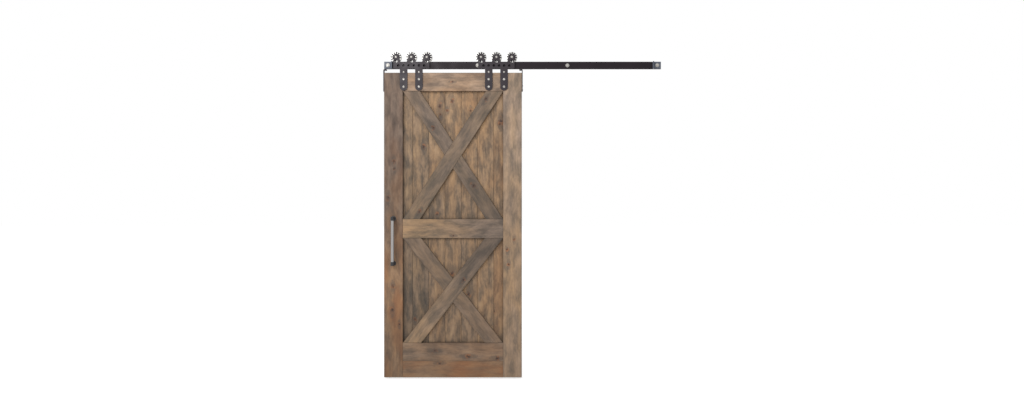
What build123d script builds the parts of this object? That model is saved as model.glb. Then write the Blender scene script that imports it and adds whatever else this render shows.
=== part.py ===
from build123d import *
import os
from math import sqrt

# Hanging plank door with two X-braced panels, its flat rail and its rolling hangers.
# Millimetres, +Z up. The wall is the plane y = 0 and the door's face looks along -Y.
# The origin is on the wall, at the middle of the row of bolts that holds the rail.

# Track
RAIL_EXTRA = 10.0
RAIL_HEIGHT = 52.0
RAIL_THICKNESS = 9.5
RAIL_STANDOFF = 37.0
RAIL_BOLT_COUNT = 4
RAIL_BOLT_INSET = 26.0
SPACER_RADIUS = 12.0
LAG_RADIUS = 5.0
LAG_THREAD_RADIUS = 4.75
LAG_REACH = 60.0
LAG_POINT = 9.0
LAG_HEAD_FLATS = 17.0
LAG_HEAD_HEIGHT = 6.0
LAG_WASHER_RADIUS = 13.5
LAG_WASHER_THICKNESS = 2.0
STOP_WIDTH = 58.5
STOP_HEIGHT = 50.0
STOP_THICKNESS = 6.0
STOP_REACH = 30.0

# Door
DOOR_WIDTH = 965.0
DOOR_HEIGHT = 2134.0
DOOR_THICKNESS = 44.5
DOOR_WALL_GAP = 12.0
DOOR_RAIL_GAP = 27.0
STILE_WIDTH = 131.0
TOP_RAIL_HEIGHT = 128.5
MIDDLE_RAIL_HEIGHT = 133.0
UPPER_PANEL_HEIGHT = 897.0
BOTTOM_UPPER_HEIGHT = 126.5
BOTTOM_LOWER_HEIGHT = 115.0
BOARD_EASE = 1.6

# Panels
PLANK_COUNT = 7
PLANK_PITCH = 114.0
PLANK_THICKNESS = 14.0
PLANK_BEVEL = 2.0
TONGUE_THICKNESS = 4.5
TONGUE_DEPTH = 6.0
GROOVE_DEPTH = 10.0
BRACE_WIDTH = 101.0
BRACE_THICKNESS = 19.0
BRACE_RECESS = 2.5

# Hangers
PLATE_THICKNESS = 6.0
HANGER_EDGE_INSET = 51.0
BAR_HEIGHT = 41.0
BAR_DROP = 4.0
BAR_END = 19.0
BAR_HOLE_COUNT = 6
BAR_HOLE_PITCH = 36.0
BAR_HOLE_RADIUS = 8.75
STRAP_PITCH = 107.0
STRAP_WIDTH = 53.0
STRAP_BOLT_DROPS = (47.0, 99.0)
STRAP_BOLT_RADIUS = 5.0
STRAP_HEAD_RADIUS = 8.75
STRAP_HEAD_HEIGHT = 4.5
STRAP_NUT_FLATS = 17.0
STRAP_NUT_HEIGHT = 7.0
RIVET_RISE = 4.0
RIVET_RADIUS = 3.0
RIVET_HEAD_RADIUS = 7.0
RIVET_HEAD_HEIGHT = 3.5
LOBE_RADIUS = 18.0
LOBE_BASE = 70.0
LOBE_HOLE_RADIUS = 11.0
LOBE_HOLE_DROP = 30.0

# Wheels
AXLE_COUNT = 3
AXLE_PITCH = 108.0
TREAD_RADIUS = 29.7
FLANGE_RADIUS = 38.0
FLANGE_THICKNESS = 3.5
FLANGE_TAPER = 1.2
TOOTH_COUNT = 12
TOOTH_PHASE = 25.0
DISC_THICKNESS = 3.0
DISC_TIP_RADIUS = 36.5
DISC_ROOT_RADIUS = 23.0
TOOTH_TIP_WIDTH = 6.0
TOOTH_ROOT_WIDTH = 9.0
AXLE_RADIUS = 4.0
AXLE_HEAD_RADIUS = 8.5
AXLE_HEAD_HEIGHT = 5.0
BUSH_RADIUS = 6.5
AXLE_NUT_FLATS = 13.0
AXLE_NUT_HEIGHT = 6.5
AXLE_NUT_FLANGE_RADIUS = 9.5
AXLE_NUT_FLANGE = 1.6
THREAD_SHOW = 2.0

# Handle
HANDLE_INSET = 67.0
HANDLE_DROP = 1178.0
HANDLE_SPAN = 314.0
HANDLE_STANDOFF = 48.0
HANDLE_BAR_RADIUS = 11.0
HANDLE_WALL = 2.0
HANDLE_COLLAR_RADIUS = 13.5
HANDLE_COLLAR_REACH = 14.0
HANDLE_SOCKET = 10.0
HANDLE_NECK_RADIUS = 9.0
HANDLE_BASE_RADIUS = 17.5
HANDLE_BASE_THICKNESS = 6.0
HANDLE_SCREW_RADIUS = 3.0
HANDLE_SCREW_GRIP = 16.0
HANDLE_SCREW_HEAD_RADIUS = 7.0
HANDLE_SCREW_HEAD_HEIGHT = 3.5

# Anti-jump brackets
BRACKET_THICKNESS = 6.0
BRACKET_WIDTH = 25.0
BRACKET_LEG = 23.0
BRACKET_DROP = 130.0
BRACKET_SCREW_DROPS = (90.0, 118.0)
BRACKET_SCREW_RADIUS = 2.5
BRACKET_SCREW_LENGTH = 30.0
BRACKET_SCREW_HEAD_RADIUS = 5.0
BRACKET_SCREW_HEAD_HEIGHT = 2.5

# Clearances
BOLT_CLEAR = 0.25
THREAD_CLEAR = 0.05
RUNNING_CLEAR = 0.06
WHEEL_RUN_CLEAR = 0.3
GROOVE_SIDE_CLEAR = 0.75
AXLE_END_PLAY = 0.4
BRACKET_RAIL_CLEAR = 3.0
HANGER_STOP_CLEAR = 6.0
JOINERY_CLEAR = 0.1
JOINERY_END_CLEAR = 0.8

# How far a cutting tool runs past the face that it opens
OVERRUN = 1.0

# Where the main planes lie; the rail is a little over twice the door's width
RAIL_LENGTH = 2 * DOOR_WIDTH + RAIL_EXTRA
RAIL_BACK_Y = -RAIL_STANDOFF
RAIL_FRONT_Y = RAIL_BACK_Y - RAIL_THICKNESS
RAIL_MID_Y = (RAIL_BACK_Y + RAIL_FRONT_Y) / 2
RAIL_TOP_Z = RAIL_HEIGHT / 2
DOOR_BACK_Y = -DOOR_WALL_GAP
DOOR_FRONT_Y = DOOR_BACK_Y - DOOR_THICKNESS
DOOR_LEFT_X = -RAIL_LENGTH / 2
DOOR_RIGHT_X = DOOR_LEFT_X + DOOR_WIDTH
DOOR_MID_X = (DOOR_LEFT_X + DOOR_RIGHT_X) / 2
DOOR_TOP_Z = -RAIL_TOP_Z - DOOR_RAIL_GAP
DOOR_BOTTOM_Z = DOOR_TOP_Z - DOOR_HEIGHT

PANEL_LEFT_X = DOOR_LEFT_X + STILE_WIDTH
PANEL_RIGHT_X = DOOR_RIGHT_X - STILE_WIDTH
GROOVE_SPAN = (PANEL_LEFT_X - GROOVE_DEPTH, PANEL_RIGHT_X + GROOVE_DEPTH)
UPPER_TOP_Z = DOOR_TOP_Z - TOP_RAIL_HEIGHT
UPPER_BOTTOM_Z = UPPER_TOP_Z - UPPER_PANEL_HEIGHT
LOWER_TOP_Z = UPPER_BOTTOM_Z - MIDDLE_RAIL_HEIGHT
SEAM_Z = DOOR_BOTTOM_Z + BOTTOM_LOWER_HEIGHT
LOWER_BOTTOM_Z = SEAM_Z + BOTTOM_UPPER_HEIGHT
BRACE_FRONT_Y = DOOR_FRONT_Y + BRACE_RECESS
PLANK_FRONT_Y = BRACE_FRONT_Y + BRACE_THICKNESS
PLANK_BACK_Y = PLANK_FRONT_Y + PLANK_THICKNESS

PLATE_FRONT_Y = DOOR_FRONT_Y - PLATE_THICKNESS
BAR_MID_Z = -BAR_DROP
BAR_TOP_Z = BAR_MID_Z + BAR_HEIGHT / 2
AXLE_Z = RAIL_TOP_Z + TREAD_RADIUS + WHEEL_RUN_CLEAR
GROOVE_HALF = RAIL_THICKNESS / 2 + GROOVE_SIDE_CLEAR
WHEEL_FRONT_Y = RAIL_MID_Y - GROOVE_HALF - FLANGE_THICKNESS
WHEEL_BACK_Y = RAIL_MID_Y + GROOVE_HALF + FLANGE_THICKNESS
BUSH_BACK_Y = WHEEL_BACK_Y + AXLE_END_PLAY
BAR_HALF = AXLE_PITCH * (AXLE_COUNT - 1) / 2 + BAR_END
HANGER_CENTRES = (
    DOOR_LEFT_X + STOP_WIDTH + HANGER_STOP_CLEAR + BAR_HALF,
    DOOR_RIGHT_X - HANGER_EDGE_INSET - BAR_HALF,
)

HANDLE_X = DOOR_LEFT_X + HANDLE_INSET
HANDLE_BAR_Y = DOOR_FRONT_Y - HANDLE_STANDOFF
HANDLE_MID_Z = DOOR_TOP_Z - HANDLE_DROP
HANDLE_POSTS = {
    "upper": (HANDLE_MID_Z + HANDLE_SPAN / 2, -1),
    "lower": (HANDLE_MID_Z - HANDLE_SPAN / 2, 1),
}


def evenly_spaced(centre, pitch, count):
    """Places along a line, a pitch apart, centred."""
    return [centre + (i - (count - 1) / 2) * pitch for i in range(count)]


RAIL_BOLT_PITCH = (RAIL_LENGTH - 2 * RAIL_BOLT_INSET) / (RAIL_BOLT_COUNT - 1)
RAIL_BOLTS = evenly_spaced(0, RAIL_BOLT_PITCH, RAIL_BOLT_COUNT)
AXLES = [x for centre in HANGER_CENTRES for x in evenly_spaced(centre, AXLE_PITCH, AXLE_COUNT)]
STRAPS = [x for centre in HANGER_CENTRES for x in evenly_spaced(centre, STRAP_PITCH, 2)]
STRAP_BOLTS = [(x, DOOR_TOP_Z - drop) for x in STRAPS for drop in STRAP_BOLT_DROPS]
STRAP_END_Z = DOOR_TOP_Z - max(STRAP_BOLT_DROPS)


def block(x_range, y_range, z_range):
    """A rectangular solid between two corners."""
    low = Vector(x_range[0], y_range[0], z_range[0])
    high = Vector(x_range[1], y_range[1], z_range[1])
    size = high - low
    return Pos(*((low + high) / 2)) * Box(size.X, size.Y, size.Z)


def rod(x, z, radius, front, back):
    """A round solid along Y between its front and back planes."""
    return Pos(x, (front + back) / 2, z) * Rot(90, 0, 0) * Cylinder(radius, back - front)


def hole(x, z, radius, front, back):
    """The tool for a round hole along Y, longer than the hole at both ends."""
    return rod(x, z, radius, front - OVERRUN, back + OVERRUN)


def tube(x, z, outer, inner, front, back):
    """A round solid along Y with a hole down its middle."""
    return rod(x, z, outer, front, back) - hole(x, z, inner, front, back)


def hexagon(x, z, flats, front, back):
    """A hexagonal solid along Y, flats apart, with flats above and below."""
    outline = RegularPolygon(flats / 2, 6, major_radius=False, rotation=30)
    return Pos(x, back, z) * Rot(90, 0, 0) * extrude(outline, back - front)


def dome_head(x, z, radius, height, back):
    """A round bolt head whose rim is bevelled towards the room."""
    bevel = height / 2
    rim = rod(x, z, radius, back - height + bevel, back)
    cap = Pos(x, back - height + bevel / 2, z) * Rot(90, 0, 0) * Cone(radius, radius - bevel, bevel)
    return rim + cap


def ease_front(board):
    """The board with the edges of its front face bevelled."""
    return chamfer(board.faces().sort_by(Axis.Y)[0].edges(), BOARD_EASE)


def joinery_slot(x_range, z_range):
    """The groove that takes the planks' ends and the rails' stub tenons."""
    return block(x_range, (PLANK_FRONT_Y - JOINERY_CLEAR, PLANK_BACK_Y + JOINERY_CLEAR), z_range)


def strap_bolt_holes():
    """Clearance holes for the through-bolts, front to back of the door."""
    radius = STRAP_BOLT_RADIUS + BOLT_CLEAR
    return [hole(x, z, radius, DOOR_FRONT_Y, DOOR_BACK_Y) for x, z in STRAP_BOLTS]


def cut(solid, tools):
    """The solid less every tool that reaches it."""
    for tool in tools:
        solid = solid - tool
    return solid


def make_rail():
    """The flat bar that the wheels run on."""
    height = (-RAIL_TOP_Z, RAIL_TOP_Z)
    bar = block((-RAIL_LENGTH / 2, RAIL_LENGTH / 2), (RAIL_FRONT_Y, RAIL_BACK_Y), height)
    radius = LAG_RADIUS + BOLT_CLEAR
    return cut(bar, [hole(x, 0, radius, RAIL_FRONT_Y, RAIL_BACK_Y) for x in RAIL_BOLTS])


def make_end_stop(side):
    """An angle bolted over the rail's end; its free leg stops the hanger."""
    tip = side * RAIL_LENGTH / 2
    inner = tip - side * STOP_WIDTH
    leg = inner + side * STOP_THICKNESS
    height = (-STOP_HEIGHT / 2, STOP_HEIGHT / 2)
    front = RAIL_FRONT_Y - STOP_THICKNESS
    flat = block(sorted((tip, inner)), (front, RAIL_FRONT_Y), height)
    flange = block(sorted((leg, inner)), (RAIL_FRONT_Y - STOP_REACH, RAIL_FRONT_Y), height)
    bolt_x = RAIL_BOLTS[0] if side < 0 else RAIL_BOLTS[-1]
    return flat + flange - hole(bolt_x, 0, LAG_RADIUS + BOLT_CLEAR, front, RAIL_FRONT_Y)


def make_spacers():
    """The sleeves that hold the rail off the wall."""
    inner = LAG_RADIUS + BOLT_CLEAR
    return [tube(x, 0, SPACER_RADIUS, inner, RAIL_BACK_Y, 0) for x in RAIL_BOLTS]


def lag_seats():
    """Each lag bolt's place with the plane that its washer lies on."""
    stop_front = RAIL_FRONT_Y - STOP_THICKNESS
    ends = (RAIL_BOLTS[0], RAIL_BOLTS[-1])
    return [(x, stop_front if x in ends else RAIL_FRONT_Y) for x in RAIL_BOLTS]


def make_lag_washers():
    """The washers under the lag bolts' heads."""
    inner = LAG_RADIUS + BOLT_CLEAR
    return [tube(x, 0, LAG_WASHER_RADIUS, inner, y - LAG_WASHER_THICKNESS, y) for x, y in lag_seats()]


def make_lag_bolts():
    """Hexagon-headed wood screws: shank through rail and spacer, thread in the wall."""
    bolts = []
    for x, seat in lag_seats():
        under = seat - LAG_WASHER_THICKNESS
        head = hexagon(x, 0, LAG_HEAD_FLATS, under - LAG_HEAD_HEIGHT, under)
        shank = rod(x, 0, LAG_RADIUS, under, 0) + rod(x, 0, LAG_THREAD_RADIUS, 0, LAG_REACH)
        tip = Rot(-90, 0, 0) * Cone(LAG_THREAD_RADIUS, 0, LAG_POINT)
        bolts.append(head + shank + Pos(x, LAG_REACH + LAG_POINT / 2, 0) * tip)
    return bolts


def make_stile(side):
    """An upright of the door's frame, grooved along its inner edge."""
    outer = DOOR_LEFT_X if side < 0 else DOOR_RIGHT_X
    inner = outer - side * STILE_WIDTH
    height = (DOOR_BOTTOM_Z, DOOR_TOP_Z)
    board = ease_front(block(sorted((outer, inner)), (DOOR_FRONT_Y, DOOR_BACK_Y), height))
    board = board - joinery_slot(sorted((inner, inner + side * GROOVE_DEPTH)), height)
    board = cut(board, strap_bolt_holes() + bracket_screw_holes(side))
    return cut(board, handle_screw_holes()) if side < 0 else board


def tenoned_board(z_low, z_high):
    """A cross board of the frame with a stub tenon at each end."""
    front_to_back = (DOOR_FRONT_Y, DOOR_BACK_Y)
    board = ease_front(block((PANEL_LEFT_X, PANEL_RIGHT_X), front_to_back, (z_low, z_high)))
    reach = GROOVE_DEPTH - JOINERY_END_CLEAR
    across = (PANEL_LEFT_X - reach, PANEL_RIGHT_X + reach)
    return board + block(across, (PLANK_FRONT_Y, PLANK_BACK_Y), (z_low, z_high))


def make_top_rail():
    """The frame's top board, grooved below for the planks."""
    groove = joinery_slot(GROOVE_SPAN, (UPPER_TOP_Z, UPPER_TOP_Z + GROOVE_DEPTH))
    return cut(tenoned_board(UPPER_TOP_Z, DOOR_TOP_Z) - groove, strap_bolt_holes())


def make_middle_rail():
    """The board planted on the planks between the two panels."""
    front_to_planks = (DOOR_FRONT_Y, PLANK_FRONT_Y)
    return ease_front(block((PANEL_LEFT_X, PANEL_RIGHT_X), front_to_planks, (LOWER_TOP_Z, UPPER_BOTTOM_Z)))


def make_bottom_upper():
    """The upper board of the bottom rail, grooved above for the planks."""
    groove = joinery_slot(GROOVE_SPAN, (LOWER_BOTTOM_Z - GROOVE_DEPTH, LOWER_BOTTOM_Z))
    return tenoned_board(SEAM_Z, LOWER_BOTTOM_Z) - groove


def make_planks():
    """Upright tongued and grooved planks, one length behind both panels."""
    middle = (PLANK_FRONT_Y + PLANK_BACK_Y) / 2
    seams = evenly_spaced(DOOR_MID_X, PLANK_PITCH, PLANK_COUNT - 1)
    reach = GROOVE_DEPTH - JOINERY_END_CLEAR
    edges = [PANEL_LEFT_X - reach] + seams + [PANEL_RIGHT_X + reach]
    height = (LOWER_BOTTOM_Z - reach, UPPER_TOP_Z + reach)
    slot_half = TONGUE_THICKNESS / 2 + JOINERY_CLEAR
    slot_depth = TONGUE_DEPTH + JOINERY_END_CLEAR
    planks = []
    for i, (left, right) in enumerate(zip(edges, edges[1:])):
        plank = block((left, right), (PLANK_FRONT_Y, PLANK_BACK_Y), height)
        uprights = plank.faces().sort_by(Axis.Y)[0].edges().filter_by(Axis.Z)
        plank = chamfer(uprights, PLANK_BEVEL)
        if i < PLANK_COUNT - 1:
            across = (middle - TONGUE_THICKNESS / 2, middle + TONGUE_THICKNESS / 2)
            plank = plank + block((right, right + TONGUE_DEPTH), across, height)
        if i > 0:
            across = (middle - slot_half, middle + slot_half)
            plank = plank - block((left, left + slot_depth), across, height)
        planks.append(plank)
    return planks


def brace_cut_width(height):
    """How wide a brace is along its level cut, when it runs corner to corner."""
    across = PANEL_RIGHT_X - PANEL_LEFT_X
    ratio = (BRACE_WIDTH / height) ** 2
    square = (ratio * across) ** 2 + (1 - ratio) * ratio * (height**2 + across**2)
    return (sqrt(square) - ratio * across) / (1 - ratio)


def brace_board(z_low, z_high, rising):
    """A board laid corner to corner across a panel, cut level at both ends."""
    width = brace_cut_width(z_high - z_low)
    ends = (PANEL_LEFT_X, PANEL_RIGHT_X - width)
    foot, head = ends if rising else ends[::-1]
    outline = Polyline(
        (foot, z_low), (foot + width, z_low), (head + width, z_high), (head, z_high), close=True,
    )
    face = make_face(Plane.XZ * outline)
    return Pos(0, BRACE_FRONT_Y + BRACE_THICKNESS, 0) * extrude(face, BRACE_THICKNESS, dir=(0, -1, 0))


def make_braces(z_low, z_high):
    """One whole brace and the two halves of the one that it crosses."""
    long_board = brace_board(z_low, z_high, rising=True)
    crossing = brace_board(z_low, z_high, rising=False) - long_board
    lower, upper = [Solid(half.wrapped) for half in crossing.solids().sort_by(Axis.Z)]
    return ease_front(long_board), ease_front(upper), ease_front(lower)


def lobe(x, lean):
    """An ear of the hanger plate round one axle; lean says which side is upright."""
    left = -LOBE_BASE / 2 if lean >= 0 else -BAR_END
    right = LOBE_BASE / 2 if lean <= 0 else BAR_END
    ring = Pos(x, AXLE_Z) * Circle(LOBE_RADIUS)
    foot = Pos(x + (left + right) / 2, BAR_TOP_Z - OVERRUN / 2) * Rectangle(right - left, OVERRUN)
    return make_hull(ring.edges() + foot.edges())


def strap(x):
    """A round-ended tongue of the hanger plate, down the door's face."""
    length = BAR_MID_Z - STRAP_END_Z
    side = Pos(x, STRAP_END_Z + length / 2) * Rectangle(STRAP_WIDTH, length)
    return side + Pos(x, STRAP_END_Z) * Circle(STRAP_WIDTH / 2)


def plate_holes(centre):
    """Every round hole in one hanger plate, as x, z and radius."""
    holes = [(x, BAR_MID_Z, BAR_HOLE_RADIUS) for x in evenly_spaced(centre, BAR_HOLE_PITCH, BAR_HOLE_COUNT)]
    for x in evenly_spaced(centre, AXLE_PITCH, AXLE_COUNT):
        holes.append((x, AXLE_Z, AXLE_RADIUS + BOLT_CLEAR))
        holes.append((x, AXLE_Z - LOBE_HOLE_DROP, LOBE_HOLE_RADIUS))
    for x in evenly_spaced(centre, STRAP_PITCH, 2):
        holes.append((x, DOOR_TOP_Z + RIVET_RISE, RIVET_RADIUS))
        holes += [(x, DOOR_TOP_Z - drop, STRAP_BOLT_RADIUS + BOLT_CLEAR) for drop in STRAP_BOLT_DROPS]
    return holes


def make_hanger_plate(centre):
    """One cut plate: perforated bar, three ears for the axles, two straps."""
    outline = Pos(centre, BAR_MID_Z) * Rectangle(2 * BAR_HALF, BAR_HEIGHT)
    for lean, x in zip((-1, 0, 1), evenly_spaced(centre, AXLE_PITCH, AXLE_COUNT)):
        outline = outline + lobe(x, lean)
    for x in evenly_spaced(centre, STRAP_PITCH, 2):
        outline = outline + strap(x)
    for x, z, radius in plate_holes(centre):
        outline = outline - Pos(x, z) * Circle(radius)
    flat = Plane(origin=(0, DOOR_FRONT_Y, 0), x_dir=(1, 0, 0), z_dir=(0, -1, 0)) * outline
    return extrude(flat, PLATE_THICKNESS, dir=(0, -1, 0))


def make_rivets():
    """Button rivets in the plates, just above the door's top edge."""
    z = DOOR_TOP_Z + RIVET_RISE
    rivets = []
    for x in STRAPS:
        head = dome_head(x, z, RIVET_HEAD_RADIUS, RIVET_HEAD_HEIGHT, PLATE_FRONT_Y)
        rivets.append(head + rod(x, z, RIVET_RADIUS - THREAD_CLEAR, PLATE_FRONT_Y, DOOR_FRONT_Y))
    return rivets


def make_strap_bolts():
    """Round-headed bolts through the plates and the door."""
    tip = DOOR_BACK_Y + STRAP_NUT_HEIGHT + THREAD_SHOW
    bolts = []
    for x, z in STRAP_BOLTS:
        head = dome_head(x, z, STRAP_HEAD_RADIUS, STRAP_HEAD_HEIGHT, PLATE_FRONT_Y)
        bolts.append(head + rod(x, z, STRAP_BOLT_RADIUS, PLATE_FRONT_Y, tip))
    return bolts


def make_strap_nuts():
    """Hexagon nuts on the back of the door."""
    back = DOOR_BACK_Y + STRAP_NUT_HEIGHT
    bore = STRAP_BOLT_RADIUS + THREAD_CLEAR
    nuts = []
    for x, z in STRAP_BOLTS:
        nut = hexagon(x, z, STRAP_NUT_FLATS, DOOR_BACK_Y, back)
        nuts.append(nut - hole(x, z, bore, DOOR_BACK_Y, back))
    return nuts


def make_axle_bolts():
    """The six bolts that the wheels turn round."""
    tip = BUSH_BACK_Y + AXLE_NUT_FLANGE + AXLE_NUT_HEIGHT + THREAD_SHOW
    bolts = []
    for x in AXLES:
        head = dome_head(x, AXLE_Z, AXLE_HEAD_RADIUS, AXLE_HEAD_HEIGHT, PLATE_FRONT_Y)
        bolts.append(head + rod(x, AXLE_Z, AXLE_RADIUS, PLATE_FRONT_Y, tip))
    return bolts


def make_axle_bushes():
    """Plain bearing sleeves clamped between plate and nut."""
    bore = AXLE_RADIUS + THREAD_CLEAR
    return [tube(x, AXLE_Z, BUSH_RADIUS, bore, DOOR_FRONT_Y, BUSH_BACK_Y) for x in AXLES]


def make_axle_nuts():
    """Flanged nuts that clamp the bushes and keep the wheels on."""
    face = BUSH_BACK_Y + AXLE_NUT_FLANGE
    back = face + AXLE_NUT_HEIGHT
    bore = AXLE_RADIUS + THREAD_CLEAR
    nuts = []
    for x in AXLES:
        flange = rod(x, AXLE_Z, AXLE_NUT_FLANGE_RADIUS, BUSH_BACK_Y, face)
        nut = flange + hexagon(x, AXLE_Z, AXLE_NUT_FLATS, face, back)
        nuts.append(nut - hole(x, AXLE_Z, bore, BUSH_BACK_Y, back))
    return nuts


def make_wheel(x):
    """A turned wheel, grooved to straddle the rail."""
    bore = BUSH_RADIUS + RUNNING_CLEAR
    lip = GROOVE_HALF + FLANGE_TAPER
    side = GROOVE_HALF + FLANGE_THICKNESS
    section = Polyline(
        (bore, -side), (FLANGE_RADIUS, -side), (FLANGE_RADIUS, -lip), (TREAD_RADIUS, -GROOVE_HALF),
        (TREAD_RADIUS, GROOVE_HALF), (FLANGE_RADIUS, lip), (FLANGE_RADIUS, side), (bore, side), close=True,
    )
    turned = revolve(make_face(section), Axis.Y)
    return Pos(x, RAIL_MID_Y, AXLE_Z) * turned


def make_toothed_disc(x):
    """A flat disc with long straight teeth, fixed to the wheel's front face."""
    outline = Circle(DISC_ROOT_RADIUS)
    root, tip = TOOTH_ROOT_WIDTH / 2, TOOTH_TIP_WIDTH / 2
    base = DISC_ROOT_RADIUS - TOOTH_ROOT_WIDTH / 2
    tooth = make_face(Polyline(
        (base, -root), (DISC_ROOT_RADIUS, -root), (DISC_TIP_RADIUS, -tip),
        (DISC_TIP_RADIUS, tip), (DISC_ROOT_RADIUS, root), (base, root), close=True,
    ))
    for i in range(TOOTH_COUNT):
        outline = outline + Rot(0, 0, TOOTH_PHASE + i * 360 / TOOTH_COUNT) * tooth
    outline = outline - Circle(BUSH_RADIUS + RUNNING_CLEAR)
    flat = Plane(origin=(x, WHEEL_FRONT_Y, AXLE_Z), x_dir=(1, 0, 0), z_dir=(0, -1, 0)) * outline
    return extrude(flat, DISC_THICKNESS, dir=(0, -1, 0))


def make_handle_bar():
    """The tube that the hand pulls, held in the two posts' collars."""
    half = HANDLE_SPAN / 2 - HANDLE_COLLAR_REACH + HANDLE_SOCKET
    outer = Cylinder(HANDLE_BAR_RADIUS, 2 * half)
    inner = Cylinder(HANDLE_BAR_RADIUS - HANDLE_WALL, 2 * (half + OVERRUN))
    return Pos(HANDLE_X, HANDLE_BAR_Y, HANDLE_MID_Z) * (outer - inner)


def make_handle_post(z, inward):
    """A cast post: round foot, neck, and a collar that takes the tube's end."""
    foot_front = DOOR_FRONT_Y - HANDLE_BASE_THICKNESS
    foot = rod(HANDLE_X, z, HANDLE_BASE_RADIUS, foot_front, DOOR_FRONT_Y)
    neck = rod(HANDLE_X, z, HANDLE_NECK_RADIUS, HANDLE_BAR_Y, foot_front)
    length = HANDLE_COLLAR_RADIUS + HANDLE_COLLAR_REACH
    middle = z + inward * (HANDLE_COLLAR_REACH - length / 2)
    collar = Pos(HANDLE_X, HANDLE_BAR_Y, middle) * Cylinder(HANDLE_COLLAR_RADIUS, length)
    depth = HANDLE_SOCKET + OVERRUN
    socket_middle = z + inward * (HANDLE_COLLAR_REACH + OVERRUN - depth / 2)
    socket = Cylinder(HANDLE_BAR_RADIUS + THREAD_CLEAR, depth)
    post = foot + neck + collar - Pos(HANDLE_X, HANDLE_BAR_Y, socket_middle) * socket
    screw_end = DOOR_FRONT_Y - HANDLE_SCREW_GRIP
    return post - rod(HANDLE_X, z, HANDLE_SCREW_RADIUS + THREAD_CLEAR, screw_end, DOOR_FRONT_Y + OVERRUN)


def handle_screw_holes():
    """Clearance holes for the screws that come through from the back."""
    radius = HANDLE_SCREW_RADIUS + BOLT_CLEAR
    return [hole(HANDLE_X, z, radius, DOOR_FRONT_Y, DOOR_BACK_Y) for z, _ in HANDLE_POSTS.values()]


def make_handle_screws():
    """Round-headed screws from the back of the door into the posts."""
    tip = DOOR_FRONT_Y - HANDLE_SCREW_GRIP + THREAD_SHOW
    head_top = DOOR_BACK_Y + HANDLE_SCREW_HEAD_HEIGHT
    screws = []
    for z, _ in HANDLE_POSTS.values():
        head = rod(HANDLE_X, z, HANDLE_SCREW_HEAD_RADIUS, DOOR_BACK_Y, head_top)
        screws.append(head + rod(HANDLE_X, z, HANDLE_SCREW_RADIUS, tip, DOOR_BACK_Y))
    return screws


def side_rod(x_inner, x_outer, z, radius):
    """A round solid along X, in the plane of the rail's middle."""
    length = abs(x_outer - x_inner)
    return Pos((x_inner + x_outer) / 2, RAIL_MID_Y, z) * Rot(0, 90, 0) * Cylinder(radius, length)


def bracket_screw_holes(side):
    """Pilot holes in a stile's edge for the bracket's screws."""
    edge = DOOR_LEFT_X if side < 0 else DOOR_RIGHT_X
    inner = edge - side * BRACKET_SCREW_LENGTH
    radius = BRACKET_SCREW_RADIUS + THREAD_CLEAR
    past = edge + side * OVERRUN
    return [side_rod(inner, past, DOOR_TOP_Z - drop, radius) for drop in BRACKET_SCREW_DROPS]


def make_bracket(side):
    """A bent strip on the door's edge whose top leg stays under the rail."""
    edge = DOOR_LEFT_X if side < 0 else DOOR_RIGHT_X
    outer = edge + side * BRACKET_THICKNESS
    across = (RAIL_MID_Y - BRACKET_WIDTH / 2, RAIL_MID_Y + BRACKET_WIDTH / 2)
    top = -RAIL_TOP_Z - BRACKET_RAIL_CLEAR
    strip = block(sorted((edge, outer)), across, (DOOR_TOP_Z - BRACKET_DROP, top))
    leg = block(sorted((outer - side * BRACKET_LEG, outer)), across, (top - BRACKET_THICKNESS, top))
    bent = strip + leg
    bend = bent.edges().filter_by(Axis.Y).sort_by_distance((outer, RAIL_MID_Y, top))[0]
    bent = fillet(bend, BRACKET_THICKNESS)
    radius = BRACKET_SCREW_RADIUS + BOLT_CLEAR
    past = side * OVERRUN
    heights = [DOOR_TOP_Z - drop for drop in BRACKET_SCREW_DROPS]
    return cut(bent, [side_rod(edge - past, outer + past, z, radius) for z in heights])


def make_bracket_screws():
    """Pan-headed wood screws through the brackets into the stiles."""
    screws = []
    for side, edge in ((-1, DOOR_LEFT_X), (1, DOOR_RIGHT_X)):
        seat = edge + side * BRACKET_THICKNESS
        head_top = seat + side * BRACKET_SCREW_HEAD_HEIGHT
        tip = edge - side * (BRACKET_SCREW_LENGTH - THREAD_SHOW)
        for drop in BRACKET_SCREW_DROPS:
            z = DOOR_TOP_Z - drop
            head = side_rod(seat, head_top, z, BRACKET_SCREW_HEAD_RADIUS)
            screws.append(head + side_rod(tip, seat, z, BRACKET_SCREW_RADIUS))
    return screws


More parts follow.
